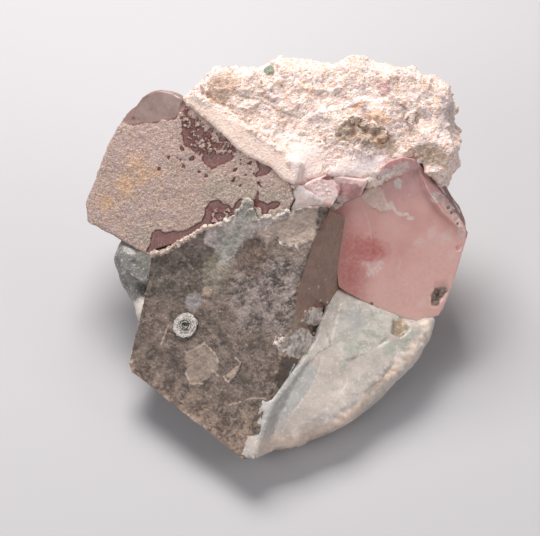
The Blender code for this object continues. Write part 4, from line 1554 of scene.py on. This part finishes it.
def form_right():
    piece = merged_copy("morganite_right", "right_morganite")
    join_into(piece, [
        add_slab(RIGHT_FACE, FACE_CORNER, 0.0, FACET_THICKNESS),
        add_slab(RIGHT_FACE, STRIP, 0.0, FACET_THICKNESS, STRIP_RISE, about=STRIP_EDGE),
        add_slab(RIGHT_FACE, TOP_FACET, 3.2, FACET_THICKNESS, TOP_RISE, about=TOP_PLACE),
    ])
    skin_finely(piece, RIGHT_VOXEL)
    points = points_of(piece)
    torn = ragged(points, 2.0, 1)
    pit = place_depth(points, RIGHT_FACE, outlines=[PIT], spots=EDGE_PITS)
    chips = place_depth(points, RIGHT_FACE, outlines=CHIPS)
    make_mask(piece, "pit", ramp(pit + 0.5 * torn, -0.4, 0.6))
    make_mask(piece, "chips", ramp(chips + 0.5 * torn, -0.2, 0.2))
    shift(piece, -0.55, "pit")
    press_clouds(piece, "pit_grains", 1.1, 1.2, "pit", noise_depth=2)
    shift(piece, 0.3, "chips")
    press_clouds(piece, "chip_grains", 1.2, 0.35, "chips", noise_depth=2)
    press_clouds(piece, "growth_swell", 9, 0.25)
    finish_form(piece, 30)
    return piece


right = form_right()
print(count_faces(right))

# %% Describe the tones of the right morganite's faces
RIGHT_ZONES = {
    "deep_red": zone(
        (0.5, 0.14, 0.13), (0.68, 0.28, 0.26), 1.5, 2.2, 0.9,
        outlines=[
            [(-19, 5), (-12.5, 5), (-8.5, 4), (-5.5, 0.5), (-5.5, -2.5), (-10.5, -3.5), (-16, -2.5),
             (-20, -4.5)],
            [(-20.5, -2), (-16.5, -2.5), (-14, -8.5), (-17.5, -12), (-21.5, -9)],
        ],
    ),
    "red_edge": zone(
        (0.56, 0.22, 0.2), (0.7, 0.34, 0.31), 1.0, 3.0, 0.75,
        outlines=[[(-24, 16), (-16, 16), (-12, -4), (-13, -16), (-24, -14)]],
    ),
    "pale_low": zone(
        (0.84, 0.52, 0.47), (0.92, 0.64, 0.58), 2.0, 5.0, 0.7,
        outlines=[[(-14, -12), (0, -6), (12, 0), (24, 2), (24, -26), (-14, -26)]],
    ),
    "mauve_top": zone(
        (0.58, 0.33, 0.33), (0.74, 0.48, 0.47), 2.0, 3.0, 0.5,
        outlines=[[(-8, 14), (2, 16), (14, 11), (18, 30), (-10, 30)]],
    ),
    "top_facet": zone(
        (0.54, 0.31, 0.3), (0.74, 0.49, 0.48), 0.6, 0.4, 0.9, reach=-9,
        outlines=[[(-6, 22.4), (1.2, 22.3), (5.9, 23.4), (9, 24.2), (12, 30), (-8, 30)]],
    ),
    "top_frost": zone(
        (0.72, 0.5, 0.47), (0.95, 0.84, 0.8), 1.6, 0.3, 0.85, reach=-9,
        outlines=[[(-6, 22.4), (1.2, 22.2), (4.5, 23.4), (6, 25), (2.5, 26), (-1, 25), (-5, 26.5)]],
    ),
    # Painted shade: the narrow strip face is painted darker because it faces away from the light.
    "strip": zone(
        (0.22, 0.125, 0.125), (0.42, 0.27, 0.27), 0.4, 0.3, 0.95, reach=-9,
        outlines=[[(10.4, 23), (12.2, 18.3), (15.3, 13.8), (20.8, 2.8), (20.9, -2), (28, -2), (24, 20),
                   (12, 27)]],
    ),
    "strip_glints": zone(
        (0.6, 0.45, 0.43), (0.92, 0.84, 0.82), 0.3, 0.15, 0.9, reach=-9, width=0.5,
        lines=[[(13.5, 18.5), (16.5, 13.5)], [(15.6, 13.5), (18.4, 8.2)], [(18.6, 11.5), (20.2, 7)]],
    ),
}

# %% Describe the right morganite's small marks and paint it
RIGHT_ZONES.update({
    "veil": zone(
        (0.82, 0.62, 0.6), (0.9, 0.76, 0.74), 1.8, 1.2, 0.5,
        spots=[(5.5, 0, 1.2), (15.5, -6.5, 1.4), (10, 2, 1.6), (14, 0, 1.8), (3, -19, 1.2)],
    ),
    "fracture": zone(
        (0.72, 0.42, 0.39), (0.94, 0.8, 0.76), 1.1, 0.35, 0.75,
        outlines=[[(-14, -2.5), (-11, -4), (-7, -3.5), (-7, -6), (-10, -8), (-13, -8), (-15, -9),
                   (-12, -6), (-13, -4.5)]],
    ),
    "cracks": zone(
        (0.8, 0.58, 0.54), (0.9, 0.74, 0.7), 0.35, 0.2, 0.5, width=0.3,
        lines=[
            [(-3, -1.5), (-1.5, -3.5), (-1.5, -5.5), (-3, -8)], [(-3, -9), (-1, -11), (-0.5, -13)],
            [(-11, 14.5), (-10, 11.5), (-9.5, 7.5), (-9.5, 3.5)],
        ],
    ),
    "vein": zone(
        (0.78, 0.62, 0.54), (0.92, 0.82, 0.76), 0.45, 0.2, 0.9, width=0.9,
        lines=[[(-3.5, 12), (-1.5, 14), (-1, 12.5), (-0.5, 10.5), (1.5, 9.5), (3, 9.5), (4.5, 7.5)]],
        spots=[(3.6, 8, 0.9), (-2, 12.8, 1.2)],
    ),
    "beige_chip": zone((0.66, 0.48, 0.4), (0.84, 0.68, 0.6), 0.5, 0.2, 0.9, outlines=[CHIPS[0]]),
    "white_chip": zone(
        (0.72, 0.6, 0.56), (0.92, 0.86, 0.82), 0.4, 0.2, 0.9, outlines=[CHIPS[1]],
        spots=[(12.8, 13, 1.6), (4.5, 15.2, 0.35)],
    ),
    "edge_specks": zone(
        (0.74, 0.6, 0.55), (0.93, 0.86, 0.82), 1.2, 0.25, 0.8, width=1.3,
        lines=[[(12.5, 14.5), (16, 9.5), (18.5, 5), (19.5, 0)]],
    ),
    "dark_specks": zone(
        (0.08, 0.05, 0.04), (0.3, 0.18, 0.15), 0.5, 0.2, 0.9,
        spots=[(16.2, 9.4, 0.6), (17, 7.6, 0.5), (18.4, 4, 0.35), (-12.5, -16.5, 0.5)],
    ),
    "pit_halo": zone((0.34, 0.2, 0.17), (0.6, 0.38, 0.34), 1.0, 1.6, 0.6, spots=[(10.5, -15.2, 1.8)]),
    "pit_grains": zone((0.06, 0.04, 0.03), (0.52, 0.4, 0.34), 0.7, 0.3, 0.95, outlines=[PIT]),
})
paint_zones(right, RIGHT_FACE, RIGHT_ZONES)


# %% Make the pink morganite's material
PINK_DUST = [((0.9, 0.74, 0.71), 1.0, 0.06, 0.5, 0.03, 3.0)]


def pink_material(name, zones, dark, light, roughness_range, depth):
    material, tree, shader = start_material(
        name, Transmission_Weight=0.15, IOR=1.58, Subsurface_Weight=0.6, Subsurface_Scale=3 * MM
    )
    shader.inputs["Subsurface Radius"].default_value = (1.0, 0.5, 0.45)
    grain = effect(tree, "grain", Size=0.9)
    cloud = effect(tree, "flecks", Size=9.0, Cover=0.5, Softness=0.2)["Mask"]
    colour = blend(tree, cloud, dark, light)
    colour = lay_zones(tree, colour, grain["Shade"], zones)
    colour = sprinkle(tree, colour, PINK_DUST)
    roughness = stretch(tree, grain["Shade"], 0.2, 0.8, *roughness_range)
    finish_material(tree, shader, colour, roughness, grain["Height"], depth)
    tint_inside(tree, (0.9, 0.5, 0.46), 60.0)
    return material


MILKY_PINK = ((0.76, 0.43, 0.4), (0.84, 0.52, 0.48))
pink = pink_material("pink_morganite", RIGHT_ZONES, *MILKY_PINK, (0.28, 0.42), 0.03)
dress(right, pink, "morganite_right")

# %% [markdown]
# ## The broken morganite
# Between the two big crystals lies what is left of a third, snapped off across its width. The break
# shows as flat pale facets, one bright streaky fracture and mauve pieces with a frosty skin. The
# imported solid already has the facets, so they only need fine streaks and the right tone each.

# %% Form the broken morganite
MIDDLE_VOXEL = 0.3
SHARD_REACH = -9.0
MIDDLE_FACE = {"centre": (13.9, 25.9, 56.5), "lean": 42.0, "heading": 0.0, "turn": 0.0}
FRACTURE = [(-6.2, 0.9), (-3.4, 0), (-0.6, -1.6), (1.2, -2.8), (0.6, -5.6), (-1.9, -4), (-4.3, -1.2),
            (-7.4, 0.9)]
FROSTED = [
    [(-3.7, 2.2), (-2.2, 3.7), (0, 3.1), (2.8, 2.5), (3.4, 0), (4.3, -1.9), (1.6, -2.5), (-0.6, -0.9),
     (-3.1, 0.3), (-5.3, 0.9)],
    [(3.1, -1.6), (7.8, -1.6), (7.8, -5.3), (3.1, -5.3)],
]


def form_middle():
    piece = merged_copy("morganite_middle", "broken_morganite")
    skin_finely(piece, MIDDLE_VOXEL)
    points = points_of(piece)
    streaky = place_depth(points, MIDDLE_FACE, SHARD_REACH, outlines=[FRACTURE])
    frosted = place_depth(points, MIDDLE_FACE, SHARD_REACH, outlines=FROSTED)
    make_mask(piece, "streaky", ramp(streaky, -0.5, 0.5))
    make_mask(piece, "frosted", ramp(frosted, -0.5, 0.5))
    shift(piece, 0.3)
    press_clouds(piece, "break_steps", 3.5, 0.5, noise_depth=2)
    press_clouds(piece, "streaks", 0.9, 0.35, "streaky", noise_depth=2)
    press_clouds(piece, "frost_grains", 0.8, 0.5, "frosted", noise_depth=1)
    finish_form(piece, 30)
    return piece


middle = form_middle()
print(count_faces(middle))

# %% Paint the broken morganite
MIDDLE_ZONES = {
    "pale_facet": zone(
        (0.84, 0.66, 0.63), (0.96, 0.83, 0.8), 0.3, 0.3, 0.9,
        outlines=[[(-12, -3.1), (-10.5, -0.6), (-7.1, 1), (-5.3, 0.6), (-3.7, -1.6), (-1.9, -3.7),
                   (-0.6, -5), (-2.5, -6.5), (-12, -7)]],
    ),
    "pale_edge": zone(
        (0.78, 0.62, 0.6), (0.95, 0.86, 0.84), 0.4, 0.3, 0.85, width=1.2,
        lines=[[(-11.5, -3.5), (-10, -0.4), (-7.2, 1.0), (-5.3, 0.8)]],
    ),
    "fracture_face": zone((0.76, 0.58, 0.56), (1.0, 0.97, 0.96), 0.5, 0.3, 0.95, outlines=[FRACTURE]),
    "mauve_frost": zone((0.5, 0.33, 0.32), (0.9, 0.78, 0.77), 0.8, 0.3, 0.9, outlines=[FROSTED[0]]),
    "white_crust": zone((0.52, 0.36, 0.33), (0.96, 0.88, 0.85), 1.0, 0.3, 0.85, outlines=[FROSTED[1]]),
    "mauve_piece": zone(
        (0.44, 0.2, 0.2), (0.62, 0.35, 0.34), 0.6, 0.5, 0.9,
        outlines=[[(4.7, 2.2), (7.8, 3.1), (11.5, 2.8), (13.6, 0.9), (12.4, -1.6), (11.5, -3.4),
                   (7.8, -2.8), (5.6, -1.2)]],
    ),
    "frost_rim": zone(
        (0.6, 0.42, 0.42), (0.95, 0.88, 0.87), 0.8, 0.25, 0.8, width=0.9,
        lines=[[(4.2, 1.9), (7.8, 2.6), (11.5, 2.4), (13.6, 0.6)], [(3.4, 2), (4.2, -1.8), (8, -2.6)],
               [(-1.9, -3.7), (1.2, -2.8)]],
    ),
    "red_shadow": zone(
        (0.14, 0.04, 0.03), (0.26, 0.09, 0.07), 0.3, 0.2, 0.9,
        outlines=[[(0.5, 3.6), (4.3, 6.8), (4.3, 3.4), (2, 3)]],
    ),
}
paint_zones(middle, MIDDLE_FACE, MIDDLE_ZONES, SHARD_REACH)
BROKEN_PINK = ((0.72, 0.48, 0.46), (0.86, 0.66, 0.63))
shards = pink_material("broken_morganite", MIDDLE_ZONES, *BROKEN_PINK, (0.3, 0.5), 0.1)
dress(middle, shards, "morganite_middle")

# %% [markdown]
# ## The albite seam
# Where the left morganite meets the quartz, a ragged seam of albite has grown over both. It is a
# row of small lumps along the quartz's raised lip, melted together by a remesh and roughened. A
# strip of even width would look like mortar, so the lumps differ in size and wander off the line.

# %% Form the albite seam
SEAM_VOXEL = 0.25
SEAM_LUMPS = 110
LUMP_SIZES = (0.6, 1.6)
SEAM_LINE = TOP_LIP[:-3]


def lip_place(across, up):
    """A point on the quartz's raised lip, in millimetres."""
    height = LIP_HEIGHT + LIP_RISE[0] * (across - LIP_PLACE[0]) + LIP_RISE[1] * (up - LIP_PLACE[1])
    return on_face(SMOKY_FACE, across, up, height)


def form_seam():
    draw = random.Random(12)
    block = add_block()
    lumps = []
    for index in range(SEAM_LUMPS):
        along = index / (SEAM_LUMPS - 1) * (len(SEAM_LINE) - 1)
        start = min(int(along), len(SEAM_LINE) - 2)
        place = lip_place(*SEAM_LINE[start]).lerp(lip_place(*SEAM_LINE[start + 1]), along - start)
        wander = Vector([draw.uniform(-0.5, 0.5) for _ in range(3)])
        turn = Matrix.Rotation(draw.uniform(0, 3), 3, "X") @ Matrix.Rotation(draw.uniform(0, 3), 3, "Z")
        size = draw.uniform(*LUMP_SIZES)
        place += wander - face_turn(SMOKY_FACE).col[2] * 0.5
        lumps.append(place_copy(block, place, turn, Vector((size, size, size))))
    bpy.data.objects.remove(block)
    piece = lumps[0]
    piece.name = piece.data.name = "albite_seam"
    join_into(piece, lumps[1:])
    bpy.ops.object.transform_apply(location=True, rotation=True, scale=True)
    skin_finely(piece, SEAM_VOXEL)
    press_clouds(piece, "seam_lumps", 1.2, 0.6, noise_depth=2)
    finish_form(piece, 50)
    return piece


seam = form_seam()
print(count_faces(seam))

# %% Paint the seam
SEAM_ZONES = {
    "cream_lumps": zone(
        (0.34, 0.24, 0.19), (0.66, 0.52, 0.44), 1.5, 0.8, 0.85, spots=[(-22, 20, 16.0)],
    ),
    "green_lumps": zone((0.24, 0.23, 0.19), (0.44, 0.42, 0.38), 1.5, 0.8, 0.8, spots=[(-2, 35, 6.0)]),
}
paint_zones(seam, SMOKY_FACE, SEAM_ZONES, reach=-20)
dress(seam, albite_material("seam_albite", SEAM_ZONES), "")

# %% [markdown]
# ## The mica rosette
# A rosette of silvery mica, 9 mm across, sits on the quartz like a button. Its plates stand in rings
# with gaps between them, darkened with depth as painted shade. One plate is a short edge spun round
# the middle and given a thickness, and every ring gets a few plates of its own length, height and tilt.

# %% Make one plate
PLATE_THICKNESS = 0.24
PLATE_STEPS = 6


def add_plate(radius, start, sweep, foot, crest, lean):
    """One curved plate: an upright edge spun round the rosette's middle."""
    bpy.ops.object.select_all(action="DESELECT")
    bpy.ops.mesh.primitive_plane_add(size=1)
    plate = bpy.context.object
    bpy.ops.object.mode_set(mode="EDIT")
    bpy.ops.mesh.select_all(action="SELECT")
    bpy.ops.mesh.delete(type="ONLY_FACE")
    bpy.ops.object.mode_set(mode="OBJECT")
    corners = [(radius, 0, foot), (radius + lean, 0, crest)]
    for corner in plate.data.vertices:
        corner.co = Vector(corners[min(corner.index, 1)]) * MM
    bpy.ops.object.mode_set(mode="EDIT")
    bpy.ops.mesh.select_all(action="SELECT")
    bpy.ops.mesh.remove_doubles(threshold=SAME_PLACE * MM)
    bpy.ops.mesh.select_all(action="SELECT")
    bpy.ops.mesh.spin(steps=PLATE_STEPS, angle=sweep, center=(0, 0, 0), axis=(0, 0, 1))
    bpy.ops.mesh.select_all(action="SELECT")
    bpy.ops.mesh.remove_doubles(threshold=SAME_PLACE * MM)
    bpy.ops.mesh.normals_make_consistent(inside=False)
    bpy.ops.object.mode_set(mode="OBJECT")
    apply_modifier(plate, "SOLIDIFY", thickness=PLATE_THICKNESS * MM, offset=0.0)
    plate.matrix_world = Matrix.Rotation(start, 4, "Z")
    return plate


# %% Form the rosette
ROSETTE = (-13.0, -3.5)
RINGS = [(0.5, 2), (1.1, 3), (1.7, 4), (2.3, 5), (2.9, 7), (3.45, 8), (3.95, 10)]
MICA_VOXEL = 0.3
PLATE_DEPTH = 1.4
DOME_FALL = 0.055
DISC_SINK = 0.8
HIGHEST_CREST = 0.3


def form_rosette():
    draw = random.Random(3)
    piece = merged_copy("mica_rosette", "mica_plates")
    skin_finely(piece, MICA_VOXEL)
    top = float(np.max(face_places(points_of(piece), SMOKY_FACE)[2]))
    shift(piece, -DISC_SINK)
    plates = []
    for radius, count in RINGS:
        for index in range(count):
            start = (index + draw.uniform(-0.3, 0.3)) / count * math.tau
            sweep = draw.uniform(0.5, 0.95) * math.tau / count
            dome = top - DOME_FALL * radius**2
            crest = dome + draw.uniform(-0.5, HIGHEST_CREST)
            lean = draw.uniform(-0.15, 0.3)
            plates.append(add_plate(radius, start, sweep, dome - PLATE_DEPTH, crest, lean))
    turn = face_turn(SMOKY_FACE).to_4x4()
    middle_place = on_face(SMOKY_FACE, *ROSETTE) * MM
    for plate in plates:
        plate.matrix_world = Matrix.Translation(middle_place) @ turn @ plate.matrix_world
    join_into(piece, plates)
    finish_form(piece, 35)
    return piece


mica = form_rosette()
print(count_faces(mica))


# %% Paint the rosette
def mica_material():
    material, tree, shader = start_material("silver_mica", Specular_IOR_Level=0.7)
    grain = effect(tree, "grain", Size=0.5)
    colour = blend(tree, grain["Shade"], (0.16, 0.135, 0.115), (0.78, 0.73, 0.69))
    # Painted shade: the gaps between the plates turn near black with depth.
    deep = painted(tree, "depth")
    colour = blend(tree, stretch(tree, deep, 0.05, 0.45), colour, (0.02, 0.018, 0.016))
    roughness = stretch(tree, grain["Shade"], 0.2, 0.8, 0.25, 0.5)
    finish_material(tree, shader, colour, roughness, grain["Height"], 0.08)
    return material


across, up, out = face_places(points_of(mica), SMOKY_FACE)
from_middle = (across - ROSETTE[0]) ** 2 + (up - ROSETTE[1]) ** 2
dome = np.max(out) - HIGHEST_CREST - DOME_FALL * from_middle
paint(mica, "depth", dome - out)
dress(mica, mica_material(), "mica_rosette")
